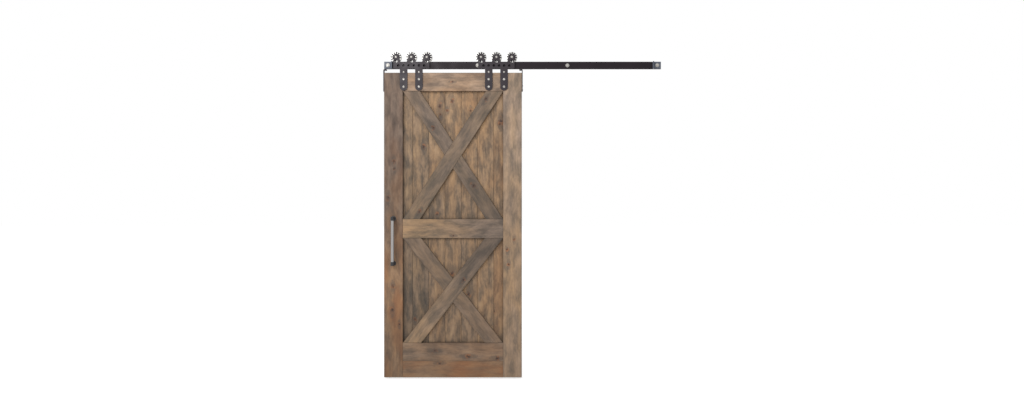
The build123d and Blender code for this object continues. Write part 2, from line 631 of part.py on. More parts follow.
def build():
    """Every piece of the door and its track, by name."""
    nodes = {
        "track_rail": make_rail(),
        "end_stop_left": make_end_stop(-1),
        "end_stop_right": make_end_stop(1),
        "rail_spacers": make_spacers(),
        "lag_bolts": make_lag_bolts(),
        "lag_washers": make_lag_washers(),
        "left_stile": make_stile(-1),
        "right_stile": make_stile(1),
        "top_rail": make_top_rail(),
        "middle_rail": make_middle_rail(),
        "bottom_rail_upper": make_bottom_upper(),
        "bottom_rail_lower": tenoned_board(DOOR_BOTTOM_Z, SEAM_Z),
        "hanger_plate_left": make_hanger_plate(HANGER_CENTRES[0]),
        "hanger_plate_right": make_hanger_plate(HANGER_CENTRES[1]),
        "plate_rivets": make_rivets(),
        "strap_bolts": make_strap_bolts(),
        "strap_nuts": make_strap_nuts(),
        "axle_bolts": make_axle_bolts(),
        "axle_bushes": make_axle_bushes(),
        "axle_nuts": make_axle_nuts(),
        "handle_bar": make_handle_bar(),
        "handle_screws": make_handle_screws(),
        "anti_jump_bracket_left": make_bracket(-1),
        "anti_jump_bracket_right": make_bracket(1),
        "bracket_screws": make_bracket_screws(),
    }
    for i, plank in enumerate(make_planks(), 1):
        nodes[f"plank_{i}"] = plank
    panels = {"upper": (UPPER_BOTTOM_Z, UPPER_TOP_Z), "lower": (LOWER_BOTTOM_Z, LOWER_TOP_Z)}
    for panel, height in panels.items():
        whole, top_half, bottom_half = make_braces(*height)
        nodes[f"{panel}_brace_whole"] = whole
        nodes[f"{panel}_brace_top_half"] = top_half
        nodes[f"{panel}_brace_bottom_half"] = bottom_half
    for i, x in enumerate(AXLES, 1):
        nodes[f"wheel_{i}"] = make_wheel(x)
        nodes[f"toothed_disc_{i}"] = make_toothed_disc(x)
    for name, (z, inward) in HANDLE_POSTS.items():
        nodes[f"handle_post_{name}"] = make_handle_post(z, inward)
    return nodes


def write(nodes):
    """One STEP file for each piece or group of like fasteners."""
    os.makedirs("parts", exist_ok=True)
    for name, shape in nodes.items():
        solid = Compound(children=shape) if isinstance(shape, list) else shape
        export_step(solid, f"parts/{name}.step")


write(build())
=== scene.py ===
"""The looks of a hanging barn door with its rail, rollers, brackets and pull handle.

Metres, +Z up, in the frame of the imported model: the wall is the plane y = 0, the door's face
looks along -Y and the origin is the middle of the row of bolts that holds the rail.
"""

import logging
from dataclasses import dataclass
from enum import Enum
from math import cos, pi, radians, sin, sqrt, tau
from typing import Callable, Iterable, Sequence

import bmesh
import bpy
import numpy as np
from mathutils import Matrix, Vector


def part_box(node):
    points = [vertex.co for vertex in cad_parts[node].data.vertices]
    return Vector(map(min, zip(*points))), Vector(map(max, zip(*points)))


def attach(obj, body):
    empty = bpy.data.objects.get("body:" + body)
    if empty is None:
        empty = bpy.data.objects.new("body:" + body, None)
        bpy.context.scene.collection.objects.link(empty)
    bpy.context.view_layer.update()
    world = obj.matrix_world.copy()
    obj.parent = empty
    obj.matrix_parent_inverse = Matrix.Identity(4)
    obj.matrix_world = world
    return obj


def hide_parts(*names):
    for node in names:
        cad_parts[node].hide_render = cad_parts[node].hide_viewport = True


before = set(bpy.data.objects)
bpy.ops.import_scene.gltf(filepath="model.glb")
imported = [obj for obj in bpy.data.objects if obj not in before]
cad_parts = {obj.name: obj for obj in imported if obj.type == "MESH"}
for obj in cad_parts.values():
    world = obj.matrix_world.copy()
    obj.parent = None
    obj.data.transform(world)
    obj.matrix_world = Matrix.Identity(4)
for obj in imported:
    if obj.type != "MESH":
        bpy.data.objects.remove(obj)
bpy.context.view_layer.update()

LOG = logging.getLogger("barn_door")
MM = 0.001
ROOM = Vector((0.0, -1.0, 0.0))
WALL = Vector((0.0, 1.0, 0.0))
WHEELS = range(1, 7)
SMOOTH_ANGLE = radians(32)

Object, Socket = bpy.types.Object, bpy.types.NodeSocket
Adder = Callable[..., Socket]
Corners = tuple[tuple[float, float], ...]
# A knot's place on the door's face, as x and z, and its radius, in millimetres
Knots = tuple[tuple[float, float, float], ...]
# How wood took the stain: from grey 0 to golden 1, its brightness, and how rusty
Tone = tuple[float, float, float]
# Tones along a board, each after its place from 0 at the foot to 1 at the head
Tones = tuple[tuple[float, float, float, float], ...]

# Settings that many nodes share
TIMES = {"operation": "MULTIPLY"}
TIMES_PLUS = {"operation": "MULTIPLY_ADD"}
SMOOTH = {"interpolation_type": "SMOOTHSTEP"}
COLOURS = {"data_type": "RGBA", "out": 2}


class Slot(Enum):
    """The record's material slots."""

    FRAME = "frame_boards"
    PLANK = "planks"
    BRACE = "brace_boards"
    BLACK = "black_steel"
    WHEEL = "bright_wheels"
    ZINC = "zinc_fasteners"
    BUSH = "bronze_bushes"
    TUBE = "satin_tube"
    CASTING = "handle_castings"


class Coat(Enum):
    """Which coat a steel part has: the track, the hangers and the end stops differ in shade."""

    TRACK = "track"
    HANGER = "hanger"
    STOP = "stop"


# Colours and nodes


def linear(code: str) -> tuple[float, float, float, float]:
    """Turns an sRGB hex colour into linear light.

    Args:
        code: the colour as "#rrggbb".

    Returns:
        Linear red, green and blue, and an alpha of 1.
    """
    parts = [int(code[i : i + 2], 16) / 255 for i in (1, 3, 5)]
    light = [c / 12.92 if c <= 0.04045 else ((c + 0.055) / 1.055) ** 2.4 for c in parts]
    return (*light, 1.0)


class Graph:
    """The nodes of a material or of the world, emptied and then added one by one."""

    def __init__(self, owner: bpy.types.Material | bpy.types.World) -> None:
        """Switches the owner's nodes on and clears them."""
        owner.use_nodes = True
        self.owner, self.tree = owner, owner.node_tree
        self.tree.nodes.clear()

    def add(self, kind: str, *values: float | Socket, inputs: dict | None = None,
            out: int | str = 0, stops: Sequence[tuple[float, str]] = (),
            **settings) -> Socket | None:
        """Adds one node with its settings and links.

        Args:
            kind: the node's type name, after "ShaderNode".
            values: what its first inputs get, in order: a value or the socket that feeds it.
            inputs: what other inputs get, by name or number.
            out: the name or number of the output.
            stops: a colour ramp's places from 0 to 1 with their sRGB hex colours.
            settings: the node's own properties.

        Returns:
            The output's socket, if the node has outputs.
        """
        node = self.tree.nodes.new(f"ShaderNode{kind}")
        for name, value in settings.items():
            setattr(node, name, value)
        for _ in stops[2:]:
            node.color_ramp.elements.new(0.5)
        for i, (place, code) in enumerate(stops):
            node.color_ramp.elements[i].position = place
            node.color_ramp.elements[i].color = linear(code)
        for key, value in {**dict(enumerate(values)), **(inputs or {})}.items():
            if isinstance(value, Socket):
                self.tree.links.new(value, node.inputs[key])
            else:
                node.inputs[key].default_value = value
        return node.outputs[out] if node.outputs else None

    def close(self, inputs: dict, bump: Socket, depth: float) -> bpy.types.Material:
        """Ends a material with a Principled shader over a bump.

        Args:
            inputs: the shader's inputs.
            bump: the height socket, 0 to 1.
            depth: the height of a full step, in metres.

        Returns:
            The material.
        """
        relief = self.add("Bump", inputs={"Height": bump, "Strength": 1.0, "Distance": depth})
        shader = self.add("BsdfPrincipled", inputs={**inputs, "Normal": relief})
        self.add("OutputMaterial", shader)
        return self.owner


# Finishes


@dataclass(frozen=True)
class StainedPine:
    """Knotty pine boards, planed and sanded, wiped with a grey-brown stain, no gloss coat.

    The stain takes unevenly: smoky clouds where it pooled, small smudges, soft streaks along
    the grain, faint lines of late wood, and small knots with a dark heart, a broken orange
    ring and a smoky surround that trails off along the grain. Each pattern is a noise, given
    by its cells' size in millimetres along, across and into the wood, its octaves and its warp.
    """

    name: str = "stained_knotty_pine"
    places: tuple[float, ...] = (0.32, 0.45, 0.55, 0.70)
    golden: tuple[str, ...] = ("#463f37", "#74634e", "#9a7d5d", "#b8976e")
    grey: tuple[str, ...] = ("#443d38", "#6b5d52", "#8b7869", "#a99583")
    rust: str = "#98643f"
    knot_core: str = "#2b211c"
    knot_wood: str = "#6e4a35"
    smoke: str = "#4a433d"
    ring_mm: float = 7.0
    relief_mm: float = 0.35
    fibre: tuple = ((50.0, 1.8, 1.8), 3.0, 0.0)
    streak: tuple = ((190.0, 11.0, 11.0), 3.0, 0.3)
    cloud: tuple = ((120.0, 44.0, 44.0), 3.0, 0.25)
    smudge: tuple = ((26.0, 12.0, 12.0), 3.0, 0.2)
    blush: tuple = ((240.0, 80.0, 80.0), 2.0, 0.0)
    ragged: tuple = ((9.0, 5.0, 5.0), 3.0, 0.0)
    patch: tuple = ((24.0, 13.0, 13.0), 2.0, 0.0)
    shares: tuple[float, float, float] = (0.2, 0.62, 0.18)
    trail: float = 0.16
    beyond: float = 9.0

    def material(self) -> bpy.types.Material:
        """Builds the wood from the boards' grain, figure, tone and knot attributes.

        Returns:
            The material.
        """
        graph = Graph(bpy.data.materials.new(self.name))
        add = graph.add
        grain, figure, tone = (
            add("Attribute", attribute_name=name, out="Vector")
            for name in ("grain", "figure", "tone")
        )
        # rim is the painted shade along the boards' edges and joints, and the painted shadow by the
        # openings' rims
        rings, rim, contrast = add("SeparateXYZ", figure).node.outputs
        warmth, depth, redness = add("SeparateXYZ", tone).node.outputs
        fibre, streak, cloud, smudge, blush, ragged, patch = (
            add("TexNoise", inputs={
                "Vector": add("Mapping", grain, inputs={"Scale": [1 / (mm * MM) for mm in cells]}),
                "Scale": 1.0, "Detail": octaves, "Distortion": warp,
            })
            for cells, octaves, warp in (
                self.fibre, self.streak, self.cloud, self.smudge,
                self.blush, self.ragged, self.patch,
            )
        )
        line = self.ring_line(add, rings, fibre, streak)

        # Light and dark: the noises' weighted sum about 0, times the board's contrast, plus half
        mixed = -0.5
        for noise, share in zip((streak, cloud, smudge), self.shares):
            mixed = add("Math", noise, share, mixed, **TIMES_PLUS)
        mixed = add("Math", mixed, contrast, 0.5, **TIMES_PLUS)
        golden, grey = (
            add("ValToRGB", mixed, stops=tuple(zip(self.places, codes)))
            for codes in (self.golden, self.grey)
        )
        warm = add("Math", warmth, add("Math", blush, 0.8, -0.4, **TIMES_PLUS), operation="ADD")
        warm = add("MapRange", warm, 0.0, 1.0, 0.0, 1.0, **SMOOTH)
        colour = add("Mix", inputs={0: warm, 6: grey, 7: golden}, **COLOURS)
        rusty = add("MapRange", blush, 0.35, 0.7, 0.22, 0.62, **SMOOTH)
        rusty = add("Math", rusty, redness, **TIMES)
        colour = add("Mix", inputs={0: rusty, 6: colour, 7: linear(self.rust)}, **COLOURS)
        colour = self.knots(add, colour, fibre, ragged, patch)

        # Shade: fibres, late wood, painted shade at the rims and joints, and the board's own depth
        shade = add("MapRange", fibre, 0.25, 0.75, 0.92, 1.07, **SMOOTH)
        for factor in (add("MapRange", line, 0.0, 1.0, 1.01, 0.9, **SMOOTH), rim, depth):
            shade = add("Math", shade, factor, **TIMES)
        tint = add("CombineColor", shade, shade, shade)
        colour = add("Mix", inputs={0: 1.0, 6: colour, 7: tint}, blend_type="MULTIPLY", **COLOURS)
        height = add("Math", fibre, add("Math", line, 0.4, **TIMES), operation="SUBTRACT")
        roughness = add("MapRange", fibre, 0.2, 0.8, 0.74, 0.58, **SMOOTH)
        inputs = {"Base Color": colour, "Roughness": roughness}
        return graph.close(inputs, height, self.relief_mm * MM)

    def ring_line(self, add: Adder, rings: Socket, fibre: Socket, streak: Socket) -> Socket:
        """Draws late wood: ((1 + sin(tau * radius / ring width)) / 2) cubed, fading in and out.

        Args:
            add: adds a node.
            rings: the distance from the tree's pith.
            fibre: the fine noise that roughens the lines.
            streak: the soft noise that fades them.

        Returns:
            A socket that is up to 1 on each line.
        """
        rough = add("Math", fibre, 4.0, **TIMES)
        turns = add("Math", rings, tau / (self.ring_mm * MM), rough, **TIMES_PLUS)
        wave = add("Math", add("Math", turns, operation="SINE"), 0.5, 0.5, **TIMES_PLUS)
        faded = add("MapRange", streak, 0.35, 0.65, 0.0, 1.0, **SMOOTH)
        return add("Math", add("Math", wave, 3.0, operation="POWER"), faded, **TIMES)

    def knots(self, add: Adder, colour: Socket, fibre: Socket, ragged: Socket,
              patch: Socket) -> Socket:
        """Paints each knot: a trail of smoke, a broken orange ring, rings of its own and a heart.

        The distance is sqrt(stretch * along^2 + across^2), in knot radii, with a stretch of 1
        for the knot and of less for its smoke, which so reaches further along the grain.

        Args:
            add: adds a node.
            colour: the wood's colour so far.
            fibre: the fine noise that roughens the knot.
            ragged: the noise that makes its outline ragged.
            patch: the noise that breaks its orange ring.

        Returns:
            The colour with the knots.
        """
        reaches, trails = [], []
        for name in ("knot_even", "knot_odd"):
            place = add("Attribute", attribute_name=name, out="Vector")
            along, across, far = add("SeparateXYZ", place).node.outputs
            side = add("Math", across, across, **TIMES)
            for stretch, found in ((1.0, reaches), (self.trail, trails)):
                square = add("Math", along, along, **TIMES)
                square = add("Math", square, stretch, side, **TIMES_PLUS)
                root = add("Math", square, operation="SQRT")
                found.append(add("Math", far, self.beyond, root, **TIMES_PLUS))
        edge = add("Math", ragged, 2.2, -1.1, **TIMES_PLUS)
        rough, trail = (
            add("Math", add("Math", *found, operation="MINIMUM"), edge, operation="ADD")
            for found in (reaches, trails)
        )
        smoky = add("Math", add("MapRange", trail, 2.4, 0.8, 0.0, 0.6, **SMOOTH),
                    add("MapRange", fibre, 0.3, 0.6, 0.6, 1.0, **SMOOTH), **TIMES)
        orange = add("Math", add("MapRange", rough, 2.2, 1.1, 0.0, 1.0, **SMOOTH),
                     add("MapRange", patch, 0.5, 0.62, 0.0, 0.7, **SMOOTH), **TIMES)
        wave = add("Math", add("Math", rough, 16.0, **TIMES), operation="SINE")
        rings = add("Math", wave, 0.25, 0.3, **TIMES_PLUS)
        core = linear(self.knot_core)
        wood = add("Mix", inputs={0: rings, 6: linear(self.knot_wood), 7: core}, **COLOURS)
        for amount, paint in (
            (smoky, linear(self.smoke)),
            (orange, linear(self.rust)),
            (add("MapRange", rough, 1.15, 0.75, 0.0, 0.75, **SMOOTH), wood),
            (add("MapRange", rough, 0.6, 0.2, 0.0, 0.85, **SMOOTH), core),
        ):
            colour = add("Mix", inputs={0: amount, 6: colour, 7: paint}, **COLOURS)
        return colour


@dataclass(frozen=True)
class CoatedSteel:
    """Mild steel, cut and bent, then powder-coated: a satin skin with a faint orange peel.

    The peel is drawn at 1.5 mm, coarser than the real 0.5 mm, so that it shows.
    """

    name: str
    base: str
    rubbed: str
    roughness: float = 0.38
    gloss: float = 0.3
    peel_mm: float = 1.5
    smudge_mm: float = 70.0
    relief_mm: float = 0.08

    def material(self) -> bpy.types.Material:
        """Builds the coat from noises on Object coordinates.

        Returns:
            The material.
        """
        graph = Graph(bpy.data.materials.new(self.name))
        add = graph.add
        place = add("TexCoord", out="Object")
        peel, smudge = (
            add("TexNoise", place, inputs={"Scale": 1 / (mm * MM), "Detail": octaves})
            for mm, octaves in ((self.peel_mm, 1.0), (self.smudge_mm, 5.0))
        )
        colour = add("ValToRGB", smudge, stops=((0.35, self.base), (0.75, self.rubbed)))
        dull, bright = self.roughness + 0.08, self.roughness - 0.06
        roughness = add("MapRange", smudge, 0.3, 0.7, dull, bright, **SMOOTH)
        inputs = {"Base Color": colour, "Roughness": roughness, "Specular IOR Level": self.gloss}
        return graph.close(inputs, peel, self.relief_mm * MM)


@dataclass(frozen=True)
class PlatedSteel:
    """Turned or headed steel, zinc-plated or satin: bright, with fine tool lines round it.

    The lines are drawn at 0.6 mm, coarser than a real cut of 0.1 mm, so that they show. The
    plating clouds a little over a few centimetres.
    """

    name: str
    base: str
    dull: str
    roughness: float
    line_mm: float = 0.6
    cloud_mm: float = 16.0
    relief_mm: float = 0.02

    def material(self) -> bpy.types.Material:
        """Builds the metal from the length along each outline and a noise on Object coordinates.

        Returns:
            The material.
        """
        graph = Graph(bpy.data.materials.new(self.name))
        add = graph.add
        run = add("Attribute", attribute_name="lathe", out="Vector")
        lines, cloud = (
            add("TexNoise", place, inputs={"Scale": 1 / (mm * MM), "Detail": octaves})
            for place, mm, octaves in (
                (run, self.line_mm, 2.0), (add("TexCoord", out="Object"), self.cloud_mm, 3.0)
            )
        )
        colour = add("ValToRGB", cloud, stops=((0.35, self.dull), (0.6, self.base)))
        spread = add("Math", cloud, -0.08, self.roughness + 0.04, **TIMES_PLUS)
        roughness = add("Math", lines, 0.12, spread, **TIMES_PLUS)
        inputs = {"Base Color": colour, "Roughness": roughness, "Metallic": 1.0}
        return graph.close(inputs, lines, self.relief_mm * MM)


class Palette:
    """Every finish, made once."""

    def __init__(self) -> None:
        """Builds the materials by slot, and those of the black steel by coat."""
        metals = {
            Slot.BLACK: CoatedSteel("charcoal_powder_coat", "#363035", "#403a3f", gloss=0.22),
            Slot.CASTING: CoatedSteel("dark_enamelled_casting", "#1f1f22", "#2c2c30", 0.3, 0.5),
            Slot.WHEEL: PlatedSteel("turned_zinc_plate", "#d2d1cd", "#bdbcb8", 0.3),
            Slot.ZINC: PlatedSteel("zinc_plate", "#b1aea9", "#9b9893", 0.4),
            Slot.BUSH: PlatedSteel("sintered_bronze", "#b08a5a", "#94734b", 0.45),
            Slot.TUBE: PlatedSteel("satin_steel_tube", "#9e9b99", "#9a9795", 0.32),
            Coat.TRACK: CoatedSteel("black_powder_coat", "#1a1218", "#241b22", gloss=0.22),
            Coat.STOP: CoatedSteel("blue_grey_powder_coat", "#585d68", "#696e79"),
        }
        wood = StainedPine().material()
        self.finishes = dict.fromkeys((Slot.FRAME, Slot.PLANK, Slot.BRACE), wood)
        self.finishes |= {key: metal.material() for key, metal in metals.items()}
        self.finishes[Coat.HANGER] = self.finishes[Slot.BLACK]

    def dress(self, piece: Object, slot: Slot, coat: Coat = Coat.HANGER) -> None:
        """Gives a piece its finish.

        Args:
            piece: the piece.
            slot: its material slot.
            coat: its powder coat, where it is black steel.
        """
        piece.data.materials.clear()
        piece.data.materials.append(self.finishes[coat if slot is Slot.BLACK else slot])


# Surfaces


def grid_quads(rows: int, columns: int, wrap: bool = False) -> np.ndarray:
    """Joins a grid of points into quads, in the order (i, j), (i, j+1), (i+1, j+1), (i+1, j).

    Args:
        rows: points along the first parameter.
        columns: points along the second parameter.
        wrap: whether the last column joins the first.

    Returns:
        The quads' point numbers.
    """
    index = np.arange(rows * columns).reshape(rows, columns)
    if wrap:
        index = np.hstack((index, index[:, :1]))
    corners = (index[:-1, :-1], index[:-1, 1:], index[1:, 1:], index[1:, :-1])
    return np.stack(corners, axis=-1).reshape(-1, 4)


def link(name: str, data: bpy.types.ID) -> Object:
    """Puts a mesh, a lamp or a camera into the scene.

    Args:
        name: the new object's name.
        data: what it shows.

    Returns:
        The new object, at the origin.
    """
    item = bpy.data.objects.new(name, data)
    bpy.context.scene.collection.objects.link(item)
    return item


def make_piece(name: str, points: np.ndarray, faces: Sequence[np.ndarray]) -> Object:
    """Puts points and faces into a mesh object at the origin.

    Args:
        name: the piece's name.
        points: an n by 3 array.
        faces: arrays of point numbers, one row for each face.

    Returns:
        The new object.
    """
    mesh = bpy.data.meshes.new(name)
    rows = [row for block in faces for row in block.tolist()]
    mesh.from_pydata(points.tolist(), [], rows)
    smooth(mesh)
    return link(name, mesh)


def smooth(mesh: bpy.types.Mesh) -> None:
    """Smooths a mesh's faces, but not the edges between steep ones."""
    mesh.polygons.foreach_set("use_smooth", np.ones(len(mesh.polygons), bool))
    mesh.set_sharp_from_angle(angle=SMOOTH_ANGLE)


def break_edges(piece: Object, width: float) -> None:
    """Rounds a cut piece's sharp edges with a narrow bevel.

    Args:
        piece: the piece.
        width: the bevel's width, in metres.
    """
    bevel = piece.modifiers.new("broken_edge", "BEVEL")
    bevel.width, bevel.segments, bevel.limit_method = width, 2, "ANGLE"
    bevel.angle_limit = radians(35)
    bevel.harden_normals = True


def set_attribute(piece: Object, name: str, values: np.ndarray) -> None:
    """Stores one vector for each point of a piece."""
    attribute = piece.data.attributes.new(name, "FLOAT_VECTOR", "POINT")
    attribute.data.foreach_set("vector", np.ascontiguousarray(values, np.float32).ravel())


def report(piece: Object) -> None:
    """Names a finished piece in the log."""
    LOG.info("%s: %d faces", piece.name, len(piece.data.polygons))


# Boards


@dataclass
class Board:
    """A board of four straight sides with eased front and back edges.

    The corners are given as foot left, foot right, head right and head left, as x and z, seen
    along the grain from foot to head. Waves are the swing and the length of the grain's slow
    bends, and a shade is how much darker painted shade makes a rim and how far that reaches.
    """

    name: str
    corners: Corners
    front: float
    back: float
    tones: Tones
    knots: Knots = ()
    pith: tuple[float, float] = (0.02, 0.09)
    seed: int = 0
    contrast: float = 0.7
    ease: float = 1.6 * MM
    openings: tuple[tuple[float, float, float, float], ...] = ()
    step: float = 7 * MM
    wall_rows: int = 4
    near_marks: tuple[float, ...] = (-7 * MM, -3 * MM, 0.0, 3 * MM, 7 * MM)
    waves: tuple[tuple[float, float], ...] = ((5 * MM, 0.93), (2.5 * MM, 0.41))
    knot_shape: float = 1.35
    knot_push: float = 0.8
    knot_reach: float = 2.4
    # Painted shade along a board's own edges, and painted shadow by the openings' rims: depth and
    # reach
    edge_shade: tuple[float, float] = (0.3, 2.5 * MM)
    opening_shade: tuple[float, float] = (0.5, 6 * MM)
    opening_hem: float = 2 * MM

    def stations(self, length: float, marks: Sequence[float] = ()) -> tuple[np.ndarray, np.ndarray]:
        """Spaces points along a side, close together at its ends and at marks.

        Args:
            length: the side's length.
            marks: distances from the start where the shade changes quickly.

        Returns:
            Places from 0 to 1, and how far the surface drops at each as a share of the ease.
        """
        rim = np.array((0.0, 0.3, 1.0)) * self.ease
        low, high = rim[-1], length - rim[-1]
        fine = [mark + offset for mark in marks for offset in self.near_marks]
        fine += [low + self.edge_shade[1], high - self.edge_shade[1]]
        middle = np.linspace(low, high, max(2, int(length / self.step)))
        middle = np.concatenate((middle, [x for x in fine if low < x < high]))
        middle = np.unique(np.round(middle, 5))
        places = np.concatenate((rim[:2], middle, length - rim[1::-1])) / length
        return places, np.concatenate(([1.0, 0.3], np.zeros(len(middle)), [0.3, 1.0]))

    def axes(self) -> tuple[np.ndarray, np.ndarray, np.ndarray]:
        """Finds how the board lies.

        Returns:
            Its foot's centre and its unit vectors along and across the grain, as x and z.
        """
        corners = np.array(self.corners)
        foot = (corners[0] + corners[1]) / 2
        along = corners[2] + corners[3] - corners[0] - corners[1]
        along = along / np.linalg.norm(along)
        return foot, along, np.array((along[1], -along[0]))

    def surface(self) -> tuple[np.ndarray, list[np.ndarray]]:
        """Works out the board's skin.

        Both faces are P(u, v) = the blend of the four corners, with y at the face plus the
        larger of the two rounding drops. The rim joins them in a few rows.

        Returns:
            Points and faces.
        """
        c = np.array(self.corners)
        heights = [z - c[0][1] for opening in self.openings for z in opening[2:]]
        widths = [x - c[0][0] for opening in self.openings[:1] for x in opening[:2]]
        u, drop_u = self.stations(np.linalg.norm(c[3] - c[0]), heights)
        v, drop_v = self.stations(np.linalg.norm(c[1] - c[0]), widths)
        uu, vv = u[:, None, None], v[None, :, None]
        flat = (1 - uu) * ((1 - vv) * c[0] + vv * c[1]) + uu * ((1 - vv) * c[3] + vv * c[2])
        drop = np.maximum(drop_u[:, None], drop_v[None, :]) * self.ease
        front, back = (
            np.stack((flat[..., 0], y, flat[..., 1]), -1).reshape(-1, 3)
            for y in (self.front + drop, self.back - drop)
        )
        rows, columns = len(u), len(v)
        index = np.arange(rows * columns).reshape(rows, columns)
        loop = np.concatenate((index[0], index[1:, -1], index[-1, -2::-1], index[-2:0:-1, 0]))
        share = np.linspace(0, 1, self.wall_rows + 2)[1:-1, None, None]
        wall = ((1 - share) * front[loop] + share * back[loop]).reshape(-1, 3)
        count = rows * columns
        between = 2 * count + np.arange(self.wall_rows * len(loop)).reshape(self.wall_rows, -1)
        rings = np.vstack((loop, between, loop + count))
        rings = np.hstack((rings, rings[:, :1]))
        walls = np.stack((rings[:-1, :-1], rings[1:, :-1], rings[1:, 1:], rings[:-1, 1:]), -1)
        quads = grid_quads(rows, columns)
        return np.vstack((front, back, wall)), [quads, quads[:, ::-1] + count, walls.reshape(-1, 4)]

    def figure(self, points: np.ndarray) -> dict[str, np.ndarray]:
        """Works out the wood's figure at each point.

        Along and across the grain are a and c, with c' = c plus slow waves. Near each knot the
        grain parts: c' = c' - push (c - knot) exp(-(distance / reach)^2), with the distance in
        knot radii. The ring radius is sqrt((c' - pith)^2 + (depth + pith depth)^2) plus a small
        taper along a. The tone is read off the board's stops at a / length.

        Args:
            points: the board's points.

        Returns:
            The attributes grain, figure and tone, and two layers of places relative to the
            nearest knot, in knot radii, with a third number that grows to 1 away from it. Knots
            take turns between the layers, so that close ones don't share one.
        """
        foot, along, across = self.axes()
        rng = np.random.default_rng(self.seed)
        flat = points[:, (0, 2)] - foot
        a, c, d = flat @ along, flat @ across, points[:, 1] - self.front
        bent = c
        for (swing, length), start in zip(self.waves, rng.uniform(0, tau, 3)):
            bent = bent + swing * np.sin(a * tau / length + start)
        away = np.tile((0.0, 0.0, 1.0), (len(points), 1))
        layers = {"knot_even": away, "knot_odd": away.copy()}
        for i, (x, z, size) in enumerate(np.array(self.knots).reshape(-1, 3) * MM):
            offset = np.array((x, z)) - foot
            da, dc = a - offset @ along, c - offset @ across
            share = np.stack((da / (self.knot_shape * size), dc / size), -1)
            distance = np.hypot(*share.T)
            bent = bent - self.knot_push * dc * np.exp(-((distance / self.knot_reach) ** 2))
            near = distance < 8
            far = np.clip((distance[near] - 4) / 3, 0, 1)
            layers["knot_odd" if i % 2 else "knot_even"][near] = np.column_stack((share[near], far))
        taper = rng.uniform(0.006, 0.014)
        radius = np.hypot(bent - self.pith[0], d + self.pith[1]) + taper * a
        length = np.ptp((np.array(self.corners) - foot) @ along)
        places, *channels = np.array(self.tones).T
        shift = rng.uniform(-40, 40, 3)
        # The figure's second number is the painted shade at the edges and rims
        figure = (radius, self.rim_shade(points), np.full(len(a), self.contrast))
        return {
            "grain": np.stack((a, bent, d), -1) + shift,
            "figure": np.stack(figure, -1),
            "tone": np.stack([np.interp(a / length, places, channel) for channel in channels], -1),
            **layers,
        }

    def rim_shade(self, points: np.ndarray) -> np.ndarray:
        """How much painted shade darkens each point, along edges and joints and by openings' rims.

        The painted shade is 1 - depth exp(-distance / reach) from the board's own edges. On the
        front half of a board behind openings that is taken times the same from their rims, as a
        painted shadow of the frame.

        Args:
            points: the board's points.

        Returns:
            A factor for each point.
        """
        # Painted shade along the board's own edges and joints
        depth, reach = self.edge_shade
        edge = np.minimum.reduce([self.edge_distance(points, i) for i in range(4)])
        shade = 1 - depth * np.exp(-edge / reach)
        # Painted shadow of the frame on the planks, by the rims of the openings
        depth, reach = self.opening_shade
        x, z = points[:, 0], points[:, 2]
        forward = points[:, 1] < (self.front + self.back) / 2
        for left, right, low, high in self.openings:
            inside = np.minimum.reduce((x - left, right - x, z - low, high - z))
            seen = (inside > -self.opening_hem) & forward
            shade[seen] *= 1 - depth * np.exp(-np.abs(inside[seen]) / reach)
        return shade

    def edge_distance(self, points: np.ndarray, side: int) -> np.ndarray:
        """Measures how far points are from one side's line.

        Args:
            points: the board's points.
            side: the number of the corner that the side starts from.

        Returns:
            The distance of each point.
        """
        start, end = np.array(self.corners[side]), np.array(self.corners[(side + 1) % 4])
        run = (end - start) / np.linalg.norm(end - start)
        flat = points[:, (0, 2)] - start
        return np.abs(flat[:, 0] * run[1] - flat[:, 1] * run[0])

    def build(self, palette: Palette, slot: Slot) -> Object:
        """Makes the board, dresses it and puts it on the door's body.

        Args:
            palette: the finishes.
            slot: the board's material slot.

        Returns:
            The board.
        """
        points, faces = self.surface()
        piece = make_piece(f"{self.name}_wood", points, faces)
        for name, values in self.figure(points).items():
            set_attribute(piece, name, values)
        palette.dress(piece, slot)
        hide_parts(self.name)
        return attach(piece, "door")


def upright(left: float, right: float, low: float, high: float) -> Corners:
    """The corners of a board whose grain runs up."""
    return ((left, low), (right, low), (right, high), (left, high))


def level(left: float, right: float, low: float, high: float) -> Corners:
    """The corners of a board whose grain runs from left to right."""
    return ((left, high), (left, low), (right, low), (right, high))


def toned(foot: Tone, head: Tone, *between: tuple[float, float, float, float]) -> Tones:
    """A board's tones from its foot to its head, with any between."""
    return ((0.0, *foot), *between, (1.0, *head))


